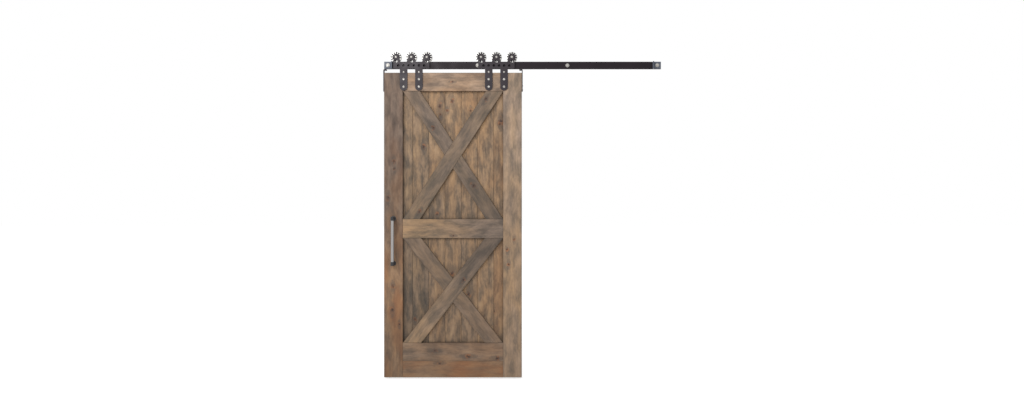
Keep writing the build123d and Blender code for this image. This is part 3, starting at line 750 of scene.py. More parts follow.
@dataclass
class DoorLeaf:
    """The wooden door: stiles, rails, planks and crossed braces."""

    left: float = -0.970
    right: float = -0.005
    top: float = -0.053
    bottom: float = -2.187
    front: float = -56.5 * MM
    back: float = -12 * MM
    stile: float = 131 * MM
    upper_panel: tuple[float, float] = (-1.0785, -0.1815)
    lower_panel: tuple[float, float] = (-1.9455, -1.2115)
    seam: float = -2.072
    brace_front: float = -54 * MM
    brace_back: float = -35 * MM
    brace_width: float = 101 * MM
    plank_back: float = -21 * MM
    plank_pitch: float = 114 * MM
    plank_count: int = 7
    plank_lap: float = 6 * MM
    plank_ease: float = 2 * MM

    @property
    def panel(self) -> tuple[float, float]:
        """The panels' left and right edges."""
        return self.left + self.stile, self.right - self.stile

    def frame_boards(self) -> list[Board]:
        """Lays out the stiles and the rails.

        Returns:
            Six boards.
        """
        left, right = self.panel
        faces = (self.front, self.back)
        return [
            Board("left_stile", upright(self.left, left, self.bottom, self.top), *faces,
                  toned((0.7, 0.78, 0.8), (0.0, 0.81, 0.3), (0.17, 0.8, 0.74, 0.9),
                        (0.29, 0.95, 1.2, 1.2), (0.42, 0.5, 0.88, 0.7), (0.6, 0.4, 0.72, 0.6),
                        (0.78, 0.1, 0.77, 0.5)),
                  ((-902, -675, 9.7), (-898, -725, 7.9), (-942, -930, 10.7),
                   (-908, -1550, 9.7), (-912, -1715, 11.4), (-863, -1815, 7.0)),
                  (0.03, 0.07), 3, 0.8),
            Board("right_stile", upright(right, self.right, self.bottom, self.top), *faces,
                  toned((0.45, 1.2, 0.05), (0.3, 1.66, 0.0), (0.37, 0.6, 1.4, 0.1),
                        (0.56, 0.5, 1.33, 0.05), (0.73, 0.4, 1.62, 0.0)),
                  ((-108, -1290, 7.9), (-98, -1395, 7.9), (-60, -1220, 7.0)),
                  (-0.05, 0.05), 11, 0.6),
            Board("top_rail", level(left, right, self.upper_panel[1], self.top), *faces,
                  toned((0.4, 1.54, 0.3), (0.45, 1.54, 0.3)),
                  ((-491, -117, 6.2),), (-0.01, 0.12), 21),
            Board("middle_rail", level(left, right, self.lower_panel[1], self.upper_panel[0]),
                  self.front, self.brace_back,
                  toned((0.75, 1.45, 0.2), (0.1, 0.86, 0.0), (0.12, 0.75, 1.15, 0.1),
                        (0.5, 0.5, 1.08, 0.1)),
                  ((-483, -1195, 6.2),), (0.01, 0.1), 32),
            Board("bottom_rail_upper", level(left, right, self.seam, self.lower_panel[0]), *faces,
                  toned((0.5, 0.95, 0.3), (0.4, 0.92, 0.4)),
                  ((-615, -2000, 10.7), (-380, -2040, 12.3), (-177, -2052, 11.4)), (0.02, 0.1), 41),
            Board("bottom_rail_lower", level(left, right, self.bottom, self.seam), *faces,
                  toned((0.7, 0.88, 1.0), (0.8, 0.97, 1.2)),
                  ((-580, -2088, 8.8),), (0.04, 0.08), 52),
        ]

    def planks(self) -> list[Board]:
        """Lays out the upright planks, one length behind both panels.

        Returns:
            The planks from left to right.
        """
        left, right = self.panel
        half = (self.plank_count - 2) / 2
        seams = (left + right) / 2 + (np.arange(self.plank_count - 1) - half) * self.plank_pitch
        edges = [left - self.plank_lap, *seams.tolist(), right + self.plank_lap]
        low, high = self.lower_panel[0] - self.plank_lap, self.upper_panel[1] + self.plank_lap
        shady = ((0.41, 0.7, 1.0, 0.25), (0.5, 0.65, 0.86, 0.2), (0.66, 0.75, 1.15, 0.3))
        # The tones of each plank, and its knots
        looks = (
            (toned((0.55, 0.54, 0.0), (0.6, 1.1, 0.1)), ()),
            (toned((0.5, 0.54, 0.0), (0.75, 1.15, 0.2)),
             ((-695, -570, 10.7), (-757, -1785, 7.9))),
            (toned((0.65, 0.85, 0.35), (0.8, 1.27, 0.3), *shady),
             ((-583, -285, 12.3), (-577, -345, 7.9), (-601, -1045, 8.8))),
            (toned((0.6, 0.9, 0.2), (0.85, 1.37, 0.4), *shady),
             ((-495, -250, 11.4), (-530, -315, 7.0), (-495, -1460, 11.4))),
            (toned((0.6, 0.92, 0.2), (0.9, 1.32, 0.5), *shady),
             ((-365, -315, 7.9), (-380, -550, 7.0), (-379, -1605, 11.4))),
            (toned((0.7, 1.0, 0.25), (0.8, 1.22, 0.4)), ((-340, -525, 11.4),)),
            (toned((0.85, 0.98, 0.5), (0.75, 1.17, 0.4)),
             ((-152, -390, 14.2), (-160, -410, 8.8), (-205, -1725, 10.7))),
        )
        # The planks get a painted shadow of the frame along these rims
        openings = tuple((left, right, *panel) for panel in (self.upper_panel, self.lower_panel))
        return [
            Board(f"plank_{i + 1}", upright(edges[i], edges[i + 1], low, high), self.brace_back,
                  self.plank_back, tones, knots, ((-1) ** i * 0.02, 0.06 + 0.01 * i), 60 + 7 * i,
                  1.0, self.plank_ease, openings)
            for i, (tones, knots) in enumerate(looks)
        ]

    def brace_cut(self, height: float) -> float:
        """The width of a brace along its level cut.

        A board of width w from corner to corner of a panel of width W and height H is cut over
        b = w sqrt((W - b)^2 + H^2) / H, here solved for b.

        Args:
            height: the panel's height.

        Returns:
            The cut's width.
        """
        across = self.panel[1] - self.panel[0]
        ratio = (self.brace_width / height) ** 2
        square = (ratio * across) ** 2 + (1 - ratio) * ratio * (height**2 + across**2)
        return (sqrt(square) - ratio * across) / (1 - ratio)

    def braces(self, prefix: str, panel: tuple[float, float], looks: dict[str, tuple[Tones, Knots]],
               seed: int) -> list[Board]:
        """Lays out one whole brace and the two halves of the one that it crosses.

        Args:
            prefix: the panel's name in the nodes.
            panel: the panel's lower and upper edge.
            looks: the tones and knots of the whole brace, the top and the bottom half.
            seed: the number that the wood's figure starts from.

        Returns:
            Three boards.
        """
        low, high = panel
        left, right = self.panel
        cut = self.brace_cut(high - low)
        middle = (low + high) / 2
        # The whole brace's edges are the lines x = foot + (z - low) * lean, and the crossing
        # board's edges lean the other way, so they meet at heights either side of the middle.
        half_gap = cut * (high - low) / (right - left - cut) / 2
        centre = (left + right) / 2
        side = cut / 2
        shapes = {
            "whole": ((left, low), (left + cut, low), (right, high), (right - cut, high)),
            "top_half": ((centre - side, middle), (centre, middle + half_gap),
                         (left + cut, high), (left, high)),
            "bottom_half": ((right - cut, low), (right, low),
                            (centre + side, middle), (centre, middle - half_gap)),
        }
        return [
            Board(f"{prefix}_brace_{name}", corners, self.brace_front, self.brace_back,
                  *looks[name], (0.01, 0.08 + 0.02 * i), seed + 5 * i, 0.6)
            for i, (name, corners) in enumerate(shapes.items())
        ]

    def build(self, palette: Palette) -> None:
        """Makes every board of the door.

        Args:
            palette: the finishes.
        """
        upper = {
            "whole": (toned((0.5, 0.82, 0.0), (0.35, 0.9, 0.0)),
                      ((-257, -237, 10.7), (-723, -1025, 7.9))),
            "top_half": (toned((0.3, 0.76, 0.0), (0.35, 1.02, 0.1)), ((-628, -437, 12.3),)),
            "bottom_half": (toned((0.25, 0.62, 0.0), (0.4, 0.8, 0.0)), ((-343, -845, 12.3),)),
        }
        lower = {
            "whole": (toned((0.7, 1.18, 0.1), (0.2, 0.48, 0.0)),
                      ((-415, -1505, 8.8), (-425, -1405, 7.0))),
            "top_half": (toned((0.45, 0.8, 0.1), (0.4, 0.76, 0.1)), ()),
            "bottom_half": (toned((0.4, 0.82, 0.2), (0.45, 0.87, 0.1)), ()),
        }
        groups = (
            (Slot.FRAME, self.frame_boards()),
            (Slot.PLANK, self.planks()),
            (Slot.BRACE, self.braces("upper", self.upper_panel, upper, 120)),
            (Slot.BRACE, self.braces("lower", self.lower_panel, lower, 150)),
        )
        for slot, boards in groups:
            for board in boards:
                report(board.build(palette, slot))


# Turned pieces, in millimetres


class Profile:
    """A turned part's outline, built up station by station as on a lathe.

    Each station has an axial place, a radius, the half width across flats of a hexagon that
    limits the radius, and a thread depth. Lengths are in millimetres.
    """

    thread_depth: float = 0.55
    thread_stations: int = 6

    def __init__(self, closed: bool = False) -> None:
        """Starts an outline; a closed one joins its last station to its first."""
        self.closed = closed
        self.rows: list[tuple[float, float, float, float]] = []
        self.pitch = 1.0

    def to(self, axial: float, radius: float, flats: float = np.inf) -> "Profile":
        """Adds one station."""
        self.rows.append((axial, radius, flats, 0.0))
        return self

    def arc(self, axial: float, radius: float, size: tuple[float, float], start: float,
            end: float, count: int = 6) -> "Profile":
        """Adds a quarter of an ellipse, or another stretch of it.

        Args:
            axial: the ellipse's centre along the axis.
            radius: the ellipse's centre out from the axis.
            size: its half widths along the axis and out from it.
            start: the first angle in degrees, 0 along the axis and 90 outwards.
            end: the last angle.
            count: stations.

        Returns:
            This profile.
        """
        for angle in np.radians(np.linspace(start, end, count)):
            self.to(axial + size[0] * cos(angle), radius + size[1] * sin(angle))
        return self

    def thread(self, start: float, end: float, radius: float, pitch: float) -> "Profile":
        """Adds a thread, whose depth is a share of its pitch and runs out at both ends.

        Args:
            start: where it starts along the axis.
            end: where it ends.
            radius: its crests' radius.
            pitch: the length of a turn.

        Returns:
            This profile.
        """
        self.pitch = pitch
        count = int((end - start) / pitch * self.thread_stations) + 2
        depths = [0.0] + [self.thread_depth * pitch] * (count - 2) + [0.0]
        for axial, depth in zip(np.linspace(start, end, count), depths):
            self.rows.append((float(axial), radius, np.inf, depth))
        return self

    def surface(self, origin: Vector, axis: Vector,
                segments: int) -> tuple[np.ndarray, np.ndarray, np.ndarray]:
        """Turns the outline about an axis.

        P(s, t) = origin + axial(s) axis + r(s, t) (cos t first + sin t second), where r is the
        smaller of the radius and flats / cos(((t + 30) mod 60) - 30), less the thread's depth
        times a triangle wave of axial / pitch - t / 360.

        Args:
            origin: where axial is 0.
            axis: the direction of growing axial.
            segments: points round the axis.

        Returns:
            Points, quads, and each point's length along the outline.
        """
        axial, radius, flats, depth = np.array(self.rows).T
        turn = np.arange(segments) * tau / segments
        hexagon = flats[:, None] / np.cos((turn + pi / 6) % (pi / 3) - pi / 6)
        wave = np.abs(2 * ((axial[:, None] / self.pitch - turn / tau) % 1) - 1)
        out = np.minimum(radius[:, None], hexagon) - depth[:, None] * wave
        lying = abs(axis.z) < 0.5
        first = Vector((0, 0, 1)).cross(axis).normalized() if lying else Vector((1, 0, 0))
        second = axis.cross(first)
        arms = np.cos(turn)[:, None] * np.array(first) + np.sin(turn)[:, None] * np.array(second)
        stretch = axial[:, None, None] * np.array(axis) + out[..., None] * arms
        points = np.array(origin) + MM * stretch
        run = np.concatenate(([0], np.cumsum(np.hypot(np.diff(axial), np.diff(radius))))) * MM
        quads = grid_quads(len(axial), segments, wrap=True)
        if self.closed:
            start = np.arange(segments)
            last = start + (len(axial) - 1) * segments
            ends = np.stack((last, np.roll(last, -1), np.roll(start, -1), start), -1)
            quads = np.vstack((quads, ends))
        return points.reshape(-1, 3), quads, np.repeat(run, segments)


def weld(points: np.ndarray, quads: np.ndarray) -> tuple[np.ndarray, np.ndarray, list[np.ndarray]]:
    """Merges points that coincide, such as those of a pole, and turns faces outwards.

    Args:
        points: an n by 3 array.
        quads: the faces, some of which may close to triangles.

    Returns:
        The kept points' numbers, the kept points, and the faces.
    """
    cells = np.round(points / (0.001 * MM))
    _, kept, number = np.unique(cells, axis=0, return_index=True, return_inverse=True)
    quads = number.reshape(-1)[quads]
    same = quads == np.roll(quads, -1, axis=1)
    whole, narrow = quads[~same.any(1)], same.sum(1) == 1
    triangles = quads[narrow][~same[narrow]].reshape(-1, 3)
    points = points[kept]
    a, b, c = (points[whole[:, i]] - points.mean(0) for i in (0, 1, 2))
    if np.einsum("ij,ij->i", a, np.cross(b, c)).sum() < 0:
        whole, triangles = whole[:, ::-1], triangles[:, ::-1]
    return kept, points, [whole, triangles]


@dataclass
class TurnedPieces:
    """Like pieces of one profile, each with its place and axis, that stand for one CAD node."""

    node: str
    slot: Slot
    body: str
    profiles: Sequence[Profile]
    places: Sequence[tuple[Vector, Vector]]
    segments: int = 48
    tolerance: float = 0.6

    def build(self, palette: Palette) -> None:
        """Turns every piece, joins them in one object and checks it against its CAD node.

        Args:
            palette: the finishes.
        """
        points, faces, runs, count = [], [], [], 0
        profiles = list(self.profiles) * (len(self.places) if len(self.profiles) == 1 else 1)
        for profile, (origin, axis) in zip(profiles, self.places):
            spot, quads, run = profile.surface(origin, axis, self.segments)
            kept, spot, blocks = weld(spot, quads)
            faces += [block + count for block in blocks]
            points.append(spot)
            runs.append(run[kept])
            count += len(spot)
        piece = make_piece(f"{self.node}_turned", np.vstack(points), faces)
        set_attribute(piece, "lathe", np.pad(np.concatenate(runs)[:, None], ((0, 0), (0, 2))))
        palette.dress(piece, self.slot)
        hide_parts(self.node)
        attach(piece, self.body)
        self.compare(piece)

    def compare(self, piece: Object) -> None:
        """Reports how far the piece's box is from its CAD node's.

        Args:
            piece: the turned piece.
        """
        low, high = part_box(self.node)
        corners = np.array([tuple(vertex.co) for vertex in piece.data.vertices])
        off = max(np.abs(corners.min(0) - low).max(), np.abs(corners.max(0) - high).max()) / MM
        weight = logging.WARNING if off > self.tolerance else logging.INFO
        faces = len(piece.data.polygons)
        LOG.log(weight, "%s: %d faces, %.2f mm off its solid's box", piece.name, faces, off)


@dataclass(frozen=True)
class ButtonBolt:
    """A button-headed bolt with a hexagon socket.

    The head is a radius and a height, the socket half a width across flats, the shank a
    radius, and the thread a length and a pitch.
    """

    head: tuple[float, float]
    socket: float
    shank: float
    threaded: float
    pitch: float
    edge: float = 0.3
    tip: float = 0.7
    relief: float = 0.2

    def profile(self, length: float) -> Profile:
        """Draws the bolt from the socket's floor to the tip; axial 0 is under its head.

        Args:
            length: the shank's length.

        Returns:
            The profile.
        """
        radius, height = self.head
        socket, shank, thread = self.socket, self.shank, length - self.threaded
        floor, mouth, rim, lip = (-share * height for share in (0.35, 0.94, 0.25, 0.08))
        top = 1.35 * socket
        profile = Profile().to(floor, 0).to(floor, 2 * socket, socket)
        profile.to(mouth, 2 * socket, socket).to(-height, top)
        profile.arc(rim, top, (height + rim, radius - top), 180, 90, 8).to(lip, radius)
        profile.to(0, radius - self.edge).to(0, shank).to(thread - self.relief, shank)
        profile.thread(thread, length - self.tip, shank, self.pitch)
        return profile.to(length, shank - self.tip).to(length, 0)


@dataclass(frozen=True)
class LagScrew:
    """A hexagon-headed wood screw; flats are half its width across them."""

    flats: float = 8.5
    height: float = 6.0
    shank: float = 5.0
    crest: float = 4.75
    thread: float = 60.0
    point: float = 9.0
    pitch: float = 3.5

    def profile(self, plain: float) -> Profile:
        """Draws the screw from its head's top to its point; axial 0 is under its head.

        Args:
            plain: the plain shank's length.

        Returns:
            The profile.
        """
        flats, height = self.flats, self.height
        corner, end = flats / cos(pi / 6) + 0.1, plain + self.thread
        profile = Profile().to(-height, 0).to(-height, 0.93 * flats)
        profile.to(-0.84 * height, corner, flats).to(0, corner, flats)
        profile.to(0, self.shank).to(plain - 0.3, self.shank).to(plain, self.crest)
        return profile.thread(plain + 0.2, end, self.crest, self.pitch).to(end + self.point, 0)


@dataclass(frozen=True)
class HexNut:
    """A hexagon nut with chamfered corners, and a flange's radius and thickness if it has one."""

    flats: float
    height: float
    bore: float
    flange: tuple[float, float] = (0.0, 0.0)
    edge: float = 0.3

    def profile(self) -> Profile:
        """Draws the nut; axial 0 is its seat.

        Returns:
            The profile.
        """
        flats, height, bore, edge = self.flats, self.height, self.bore, self.edge
        corner, (reach, foot) = flats / cos(pi / 6) + 0.1, self.flange
        profile = Profile(closed=True).to(0, bore + edge)
        if foot:
            profile.to(0, reach - edge).to(0.4, reach).to(foot - edge, reach).to(foot, reach - 0.5)
        else:
            profile.to(0, 0.94 * flats).to(0.12 * height, corner, flats)
        profile.to(foot + 0.02, corner, flats).to(foot + 0.86 * height, corner, flats)
        profile.to(foot + height, 0.93 * flats).to(foot + height, bore + edge)
        return profile.to(foot + height - edge, bore).to(edge, bore)


def ring(outer: float, inner: float, start: float, end: float, edge: float = 0.4) -> Profile:
    """Draws a washer, sleeve or bush with broken edges.

    Args:
        outer: its outer radius.
        inner: its bore's radius.
        start: its first axial place.
        end: its last axial place.
        edge: the width of the broken edge outside, and twice that of the one inside.

    Returns:
        The profile.
    """
    mouth = edge / 2
    profile = Profile(closed=True).to(start, inner + mouth).to(start, outer - edge)
    profile.to(start + edge, outer).to(end - edge, outer).to(end, outer - edge)
    return profile.to(end, inner + mouth).to(end - mouth, inner).to(start + mouth, inner)


def facing_wall(spots: Iterable[tuple[float, float]], y: float) -> list[tuple[Vector, Vector]]:
    """Puts pieces at one depth, with their axes towards the wall.

    Args:
        spots: places as x and z, in millimetres.
        y: their depth.

    Returns:
        Origins in metres, and axes.
    """
    return [(Vector((x, y, z)) * MM, WALL) for x, z in spots]


# Sub-assemblies, in millimetres


@dataclass
class Track:
    """The wall bolts and washers of the rail."""

    bolt_x: tuple[float, ...] = (-944.0, -944.0 / 3, 944.0 / 3, 944.0)
    rail_front: float = -46.5
    stop: float = 6.0
    stops_from: float = 900.0
    washer: tuple[float, float] = (13.5, 2.0)
    bore: float = 5.25
    screw: LagScrew = LagScrew()

    def pieces(self) -> list[TurnedPieces]:
        """Lays out the lag bolts and their washers; those at the ends also hold the stops.

        Returns:
            Two groups.
        """
        radius, thick = self.washer
        seats = [self.rail_front - self.stop * (abs(x) > self.stops_from) for x in self.bolt_x]
        unders = [y - thick for y in seats]
        washers = [ring(radius, self.bore, y - thick, y) for y in seats]
        bolts = [self.screw.profile(-y) for y in unders]
        places = [(Vector((x * MM, 0, 0)), WALL) for x in self.bolt_x]
        spots = [(Vector((x * MM, y * MM, 0)), WALL) for x, y in zip(self.bolt_x, unders)]
        return [
            TurnedPieces("lag_washers", Slot.ZINC, "track", washers, places),
            TurnedPieces("lag_bolts", Slot.ZINC, "track", bolts, spots, segments=36),
        ]


@dataclass
class Hangers:
    """The wheels, axles and fasteners of the two hangers."""

    plate_front: float = -62.5
    door_front: float = -56.5
    door_back: float = -12.0
    door_top: float = -53.0
    bush_back: float = -32.35
    wheel_y: float = -41.75
    strap_half_pitch: float = 53.5
    drops: tuple[float, float] = (47.0, 99.0)
    rivet_rise: float = 4.0
    rivet_head: tuple[float, float] = (3.5, 7.0)
    rivet_shank: tuple[float, float] = (6.0, 2.95)
    axle_show: float = 10.1
    strap_show: float = 9.0
    axle_bolt: ButtonBolt = ButtonBolt((8.5, 5.0), 2.5, 4.0, 12.0, 1.25)
    strap_bolt: ButtonBolt = ButtonBolt((8.75, 4.5), 3.0, 5.0, 14.0, 1.5)
    axle_nut: HexNut = HexNut(6.5, 6.5, 4.05, (9.5, 1.6))
    strap_nut: HexNut = HexNut(8.5, 7.0, 5.05)
    bush: tuple[float, float] = (6.5, 4.05)
    groove: float = 5.5
    flange: float = 3.5
    taper: float = 1.2
    tread: float = 29.7
    rim: float = 38.0
    bore: float = 6.56
    web: tuple[float, float] = (14.0, 26.0)
    web_step: tuple[float, float] = (0.5, 0.6)
    wheel_segments: int = 96

    def centres(self, node: str) -> tuple[float, float]:
        """A node's middle as x and z, in millimetres."""
        low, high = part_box(node)
        return (low.x + high.x) / 2 / MM, (low.z + high.z) / 2 / MM

    def wheel(self) -> Profile:
        """Draws a wheel: two flanges with rounded rims beside the tread, and a stepped web.

        Returns:
            The profile, with axial 0 in the middle of the tread.
        """
        side, lip, rim = self.groove + self.flange, self.groove + self.taper, self.rim
        inner, outer = self.web
        sunk, slope = side - self.web_step[0], self.web_step[1]
        edge = [
            (side, self.bore + 0.4), (side, inner), (sunk, inner + slope), (sunk, outer - slope),
            (side, outer), (side, rim - 0.9), (side - 0.25, rim - 0.25), (side - 0.9, rim),
            (lip + 0.3, rim), (lip, rim - 0.3), (self.groove, self.tread + 0.4),
            (self.groove - 0.4, self.tread),
        ]
        profile = Profile(closed=True)
        for sign, half in ((-1, edge), (1, edge[::-1])):
            for axial, radius in half:
                profile.to(sign * axial, radius)
        return profile

    def pieces(self) -> list[TurnedPieces]:
        """Lays out every turned piece of the hangers.

        Returns:
            The fasteners' groups, and then the wheels.
        """
        axles = [self.centres(f"wheel_{i}") for i in WHEELS]
        plates = [self.centres(f"hanger_plate_{side}")[0] for side in ("left", "right")]
        straps = [x + side * self.strap_half_pitch for x in plates for side in (-1, 1)]
        bolts = [(x, self.door_top - drop) for x in straps for drop in self.drops]
        rivets = [(x, self.door_top + self.rivet_rise) for x in straps]
        front, door, back, bush = self.plate_front, self.door_front, self.door_back, self.bush_back
        length, shank = self.rivet_shank
        rivet = Profile().arc(0, 0, self.rivet_head, 180, 90, 8)
        rivet.to(0, shank).to(length, shank).to(length, 0)
        axle = self.axle_bolt.profile(bush + self.axle_show - front)
        strap = self.strap_bolt.profile(back + self.strap_show - front)
        rows = (
            ("axle_bolts", Slot.ZINC, axle, axles, front),
            ("strap_bolts", Slot.ZINC, strap, bolts, front),
            ("strap_nuts", Slot.ZINC, self.strap_nut.profile(), bolts, back),
            ("axle_nuts", Slot.ZINC, self.axle_nut.profile(), axles, bush),
            ("axle_bushes", Slot.BUSH, ring(*self.bush, 0, bush - door), axles, door),
            ("plate_rivets", Slot.ZINC, rivet, rivets, front),
        )
        return [
            TurnedPieces(node, slot, "door", [profile], facing_wall(spots, y))
            for node, slot, profile, spots, y in rows
        ] + [
            TurnedPieces(f"wheel_{i}", Slot.WHEEL, f"wheel_set_{i}", [self.wheel()],
                         facing_wall([spot], self.wheel_y), self.wheel_segments)
            for i, spot in zip(WHEELS, axles)
        ]


@dataclass
class PullHandle:
    """A satin tube between two cast posts, screwed on from the back of the door."""

    x: float = -903.0
    middle: float = -1231.0
    half_span: float = 157.0
    bar_y: float = -104.5
    door_front: float = -56.5
    door_back: float = -12.0
    bar: tuple[float, float] = (11.0, 9.0)
    collar: float = 13.5
    collar_reach: float = 14.0
    socket: float = 10.0
    foot: tuple[float, float] = (17.5, 6.0)
    foot_round: float = 3.0
    neck: float = 9.0
    fillet: float = 5.0
    slack: float = 0.05
    screw: ButtonBolt = ButtonBolt((7.0, 3.5), 2.0, 3.0, 12.0, 1.0)
    screw_length: float = 58.5

    def place(self, y: float, z: float, axis: Vector) -> tuple[Vector, Vector]:
        """A place on the handle's upright line, in metres, with its axis."""
        return Vector((self.x, y, z)) * MM, axis

    def pieces(self) -> list[TurnedPieces]:
        """Lays out the tube, the screws and the posts.

        Returns:
            Four groups.
        """
        half = self.half_span - self.collar_reach + self.socket
        up = [self.place(self.bar_y, self.middle, Vector((0, 0, 1)))]
        ends = (self.middle + self.half_span, self.middle - self.half_span)
        spots = [self.place(self.door_back, z, ROOM) for z in ends]
        screw = self.screw.profile(self.screw_length)
        return [
            TurnedPieces("handle_bar", Slot.TUBE, "door", [ring(*self.bar, -half, half)], up, 64),
            TurnedPieces("handle_screws", Slot.ZINC, "door", [screw], spots),
            self.post("upper", 1),
            self.post("lower", -1),
        ]

    def post(self, name: str, side: int) -> TurnedPieces:
        """A cast post: a domed foot that flows into a neck, and a collar that takes the tube.

        Args:
            name: "upper" or "lower".
            side: 1 for the post above the tube, -1 for the one below.

        Returns:
            The foot with its neck, and the collar, as one piece.
        """
        z = self.middle + side * self.half_span
        radius, thick = self.foot
        reach, rounding, fillet = self.door_front - self.bar_y, self.foot_round, self.fillet
        stem = Profile().to(0, 0).to(0, radius - 0.2).to(0.4, radius)
        stem.arc(thick - rounding, radius - rounding, (rounding, rounding), 90, 0)
        stem.arc(thick + fillet, self.neck + fillet, (fillet, fillet), 180, 270)
        stem.to(reach, self.neck).to(reach, 0)
        mouth, collar, bar = self.collar_reach, self.collar, self.bar[0]
        depth, bore = mouth - self.socket, bar + self.slack
        cup = Profile().to(depth, 0).to(depth, bore).to(mouth - 0.4, bore).to(mouth, bar + 0.5)
        cup.to(mouth, collar - 0.5).to(mouth - 0.6, collar)
        cup.arc(fillet - collar, collar - fillet, (fillet, fillet), 90, 180, 7).to(-collar, 0)
        foot = self.place(self.door_front, z, ROOM)
        top = self.place(self.bar_y, z, Vector((0, 0, -side)))
        node = f"handle_post_{name}"
        return TurnedPieces(node, Slot.CASTING, "door", [stem, cup], [foot, top], 56)


@dataclass
class ToothedDiscs:
    """The flat toothed disc on the front of each wheel."""

    front: float = -53.75
    back: float = -50.75
    bore: float = 6.56
    root: float = 23.0
    tip: float = 36.5
    root_width: float = 10.5
    tip_width: float = 8.0
    teeth: int = 12
    phase: float = 25.0
    edge: float = 0.35

    def outline(self) -> tuple[np.ndarray, np.ndarray]:
        """Draws the teeth, six points to each.

        Returns:
            The angles and radii of the points round the disc.
        """
        root, tip = (
            np.arcsin(width / 2 / radius)
            for width, radius in ((self.root_width, self.root), (self.tip_width, self.tip))
        )
        pitch = tau / self.teeth
        angles = np.array((-root, -tip, 0.0, tip, root, pitch / 2))
        radii = np.array((self.root, self.tip, self.tip, self.tip, self.root, self.root))
        turns = radians(self.phase) + pitch * np.arange(self.teeth)
        return (turns[:, None] + angles).ravel(), np.tile(radii, self.teeth)

    def build(self, palette: Palette) -> None:
        """Makes each disc as four loops, front and back, at the bore and at the outline.

        Args:
            palette: the finishes.
        """
        angles, radii = self.outline()
        quads = grid_quads(5, len(angles), wrap=True) % (4 * len(angles))
        front, back = self.front, self.back
        sides = ((front, self.bore), (front, radii), (back, radii), (back, self.bore))
        for i in WHEELS:
            low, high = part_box(f"wheel_{i}")
            centre = (low + high) / 2
            loops = [
                np.stack((centre.x + MM * reach * np.cos(angles), np.full(len(angles), y * MM),
                          centre.z + MM * reach * np.sin(angles)), -1)
                for y, reach in sides
            ]
            piece = make_piece(f"toothed_disc_{i}_cut", np.vstack(loops), [quads])
            break_edges(piece, self.edge * MM)
            palette.dress(piece, Slot.BLACK)
            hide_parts(f"toothed_disc_{i}")
            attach(piece, f"wheel_set_{i}")
            report(piece)


@dataclass
class BracketScrews:
    """The screws that hold the anti-jump brackets on the door's edges."""

    edges: tuple[float, float] = (-970.0, -5.0)
    thickness: float = 6.0
    door_top: float = -53.0
    drops: tuple[float, float] = (90.0, 118.0)
    y: float = -41.75
    screw: ButtonBolt = ButtonBolt((5.0, 2.5), 1.5, 2.5, 20.0, 1.6)
    screw_length: float = 34.0

    def pieces(self) -> list[TurnedPieces]:
        """Lays out four button-headed screws, two from each side.

        Returns:
            One group.
        """
        spots = [
            (Vector((edge + side * self.thickness, self.y, self.door_top - drop)) * MM,
             Vector((-side, 0, 0)))
            for side, edge in zip((-1, 1), self.edges) for drop in self.drops
        ]
        screw = self.screw.profile(self.screw_length)
        return [TurnedPieces("bracket_screws", Slot.ZINC, "door", [screw], spots, 36)]


@dataclass
class CutSteel:
    """Plates, bars and blocks: the CAD solid with its edges broken, as a deburred part's are."""

    slot: Slot
    body: str
    edge: float
    nodes: tuple[str, ...]
    coat: Coat = Coat.HANGER

    def build(self, palette: Palette) -> None:
        """Copies each node, merges it and breaks its edges with a narrow bevel.

        Args:
            palette: the finishes.
        """
        for node in self.nodes:
            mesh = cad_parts[node].data.copy()
            work = bmesh.new()
            work.from_mesh(mesh)
            bmesh.ops.remove_doubles(work, verts=work.verts, dist=0.002 * MM)
            bmesh.ops.dissolve_limit(
                work, angle_limit=radians(1.0), verts=work.verts, edges=work.edges
            )
            work.to_mesh(mesh)
            work.free()
            smooth(mesh)
            piece = link(f"{node}_finished", mesh)
            break_edges(piece, self.edge)
            palette.dress(piece, self.slot, self.coat)
            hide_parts(node)
            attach(piece, self.body)
            report(piece)


def cut_steel() -> list[CutSteel]:
    """Lists every plate, bar and block, by finish and body.

    Returns:
        Three groups.
    """
    plates = tuple(f"{kind}_{side}" for kind in ("hanger_plate", "anti_jump_bracket")
                   for side in ("left", "right"))
    return [
        CutSteel(Slot.BLACK, "track", 0.8 * MM, ("track_rail", "rail_spacers"), Coat.TRACK),
        CutSteel(Slot.BLACK, "track", 0.8 * MM, ("end_stop_left", "end_stop_right"), Coat.STOP),
        CutSteel(Slot.BLACK, "door", 0.6 * MM, plates),
    ]


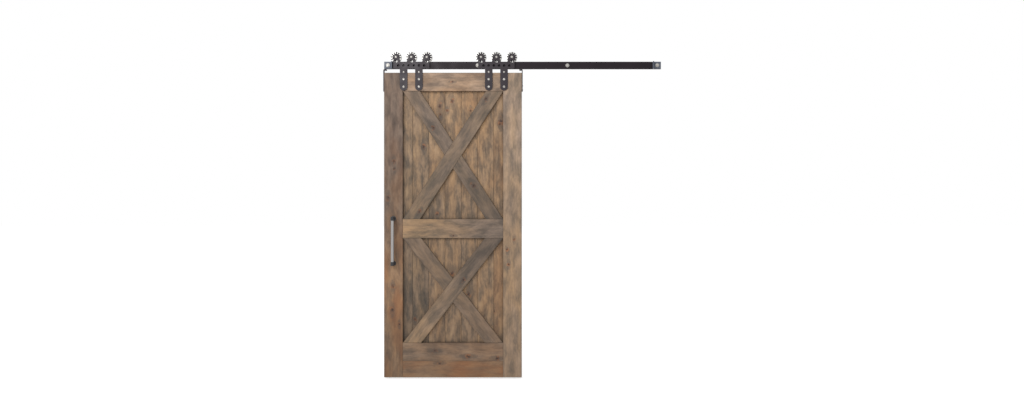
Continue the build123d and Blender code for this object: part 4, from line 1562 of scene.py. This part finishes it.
@dataclass
class Studio:
    """The pale floor, the even light and the camera of the photograph.

    A lamp has a name, a place, a side in metres and a power in watts.
    """

    floor_z: float = -2.197
    floor_half: float = 30.0
    floor_colour: str = "#f0f0f0"
    glow: float = 0.62
    ambient: float = 0.53
    lamps: tuple = (("key", (-3.4, -4.0, 2.6), 1.5, 94.0), ("fill", (-1.8, -4.7, 1.0), 1.0, 50.0))
    aim: tuple[float, float, float] = (-0.3, 0.0, -1.0)
    eye: tuple[float, float, float] = (-0.0739, -4.857, -0.9585)
    lens_mm: float = 24.1
    sensor_mm: float = 36.0

    def build(self) -> None:
        """Makes the floor, the world, the lamps and the camera."""
        self.floor()
        self.world()
        for lamp in self.lamps:
            self.lamp(*lamp)
        self.camera()
        bpy.context.scene.view_settings.view_transform = "Standard"

    def floor(self) -> None:
        """A plain white sheet that keeps a soft shadow."""
        corners = self.floor_half * np.array(((-1, -1), (1, -1), (1, 1), (-1, 1)))
        points = np.column_stack((corners, np.full(4, self.floor_z)))
        piece = make_piece("floor", points, [np.array([[0, 1, 2, 3]])])
        material = bpy.data.materials.new("white_floor")
        add = Graph(material).add
        diffuse = add("BsdfDiffuse", linear(self.floor_colour))
        strength = add("Math", self.seen(add), self.glow, **TIMES)
        glow = add("Emission", inputs={"Strength": strength})
        add("OutputMaterial", add("AddShader", diffuse, glow))
        piece.data.materials.append(material)

    def seen(self, add: Adder) -> Socket:
        """Tells the rays that look from those that light.

        Args:
            add: adds a node.

        Returns:
            A socket that is 1 for camera, glossy and transmitted rays.
        """
        path = add("LightPath").node.outputs
        first = add("Math", path["Is Camera Ray"], path["Is Glossy Ray"], operation="MAXIMUM")
        return add("Math", first, path["Is Transmission Ray"], operation="MAXIMUM")

    def world(self) -> None:
        """White where it is seen, and an even, lower light on the object."""
        world = bpy.data.worlds.new("studio")
        bpy.context.scene.world = world
        add = Graph(world).add
        strength = add("MapRange", self.seen(add), 0.0, 1.0, self.ambient, 1.0, **SMOOTH)
        add("OutputWorld", add("Background", (1, 1, 1, 1), strength))

    def lamp(self, name: str, place: tuple[float, float, float], size: float, power: float) -> None:
        """Adds a soft square lamp that faces the door.

        Args:
            name: the lamp's name.
            place: where it hangs.
            size: its side.
            power: its power in watts.
        """
        data = bpy.data.lights.new(name, "AREA")
        data.size, data.energy = size, power
        lamp = link(name, data)
        lamp.location = place
        aim = Vector(self.aim) - Vector(place)
        lamp.rotation_euler = aim.to_track_quat("-Z", "Y").to_euler()

    def camera(self) -> None:
        """Sets the camera square to the wall at the photograph's distance."""
        data = bpy.data.cameras.new("camera")
        data.lens, data.sensor_width = self.lens_mm, self.sensor_mm
        camera = link("camera", data)
        camera.location = self.eye
        camera.rotation_euler = (radians(90), 0, 0)
        bpy.context.scene.camera = camera


def main() -> None:
    """Builds the whole scene in order."""
    logging.basicConfig(level=logging.INFO, format="%(name)s: %(message)s")
    palette = Palette()
    DoorLeaf().build(palette)
    for group in cut_steel():
        group.build(palette)
    ToothedDiscs().build(palette)
    for assembly in (Track(), Hangers(), PullHandle(), BracketScrews()):
        for group in assembly.pieces():
            group.build(palette)
    Studio().build()


if __name__ == "__main__":
    main()
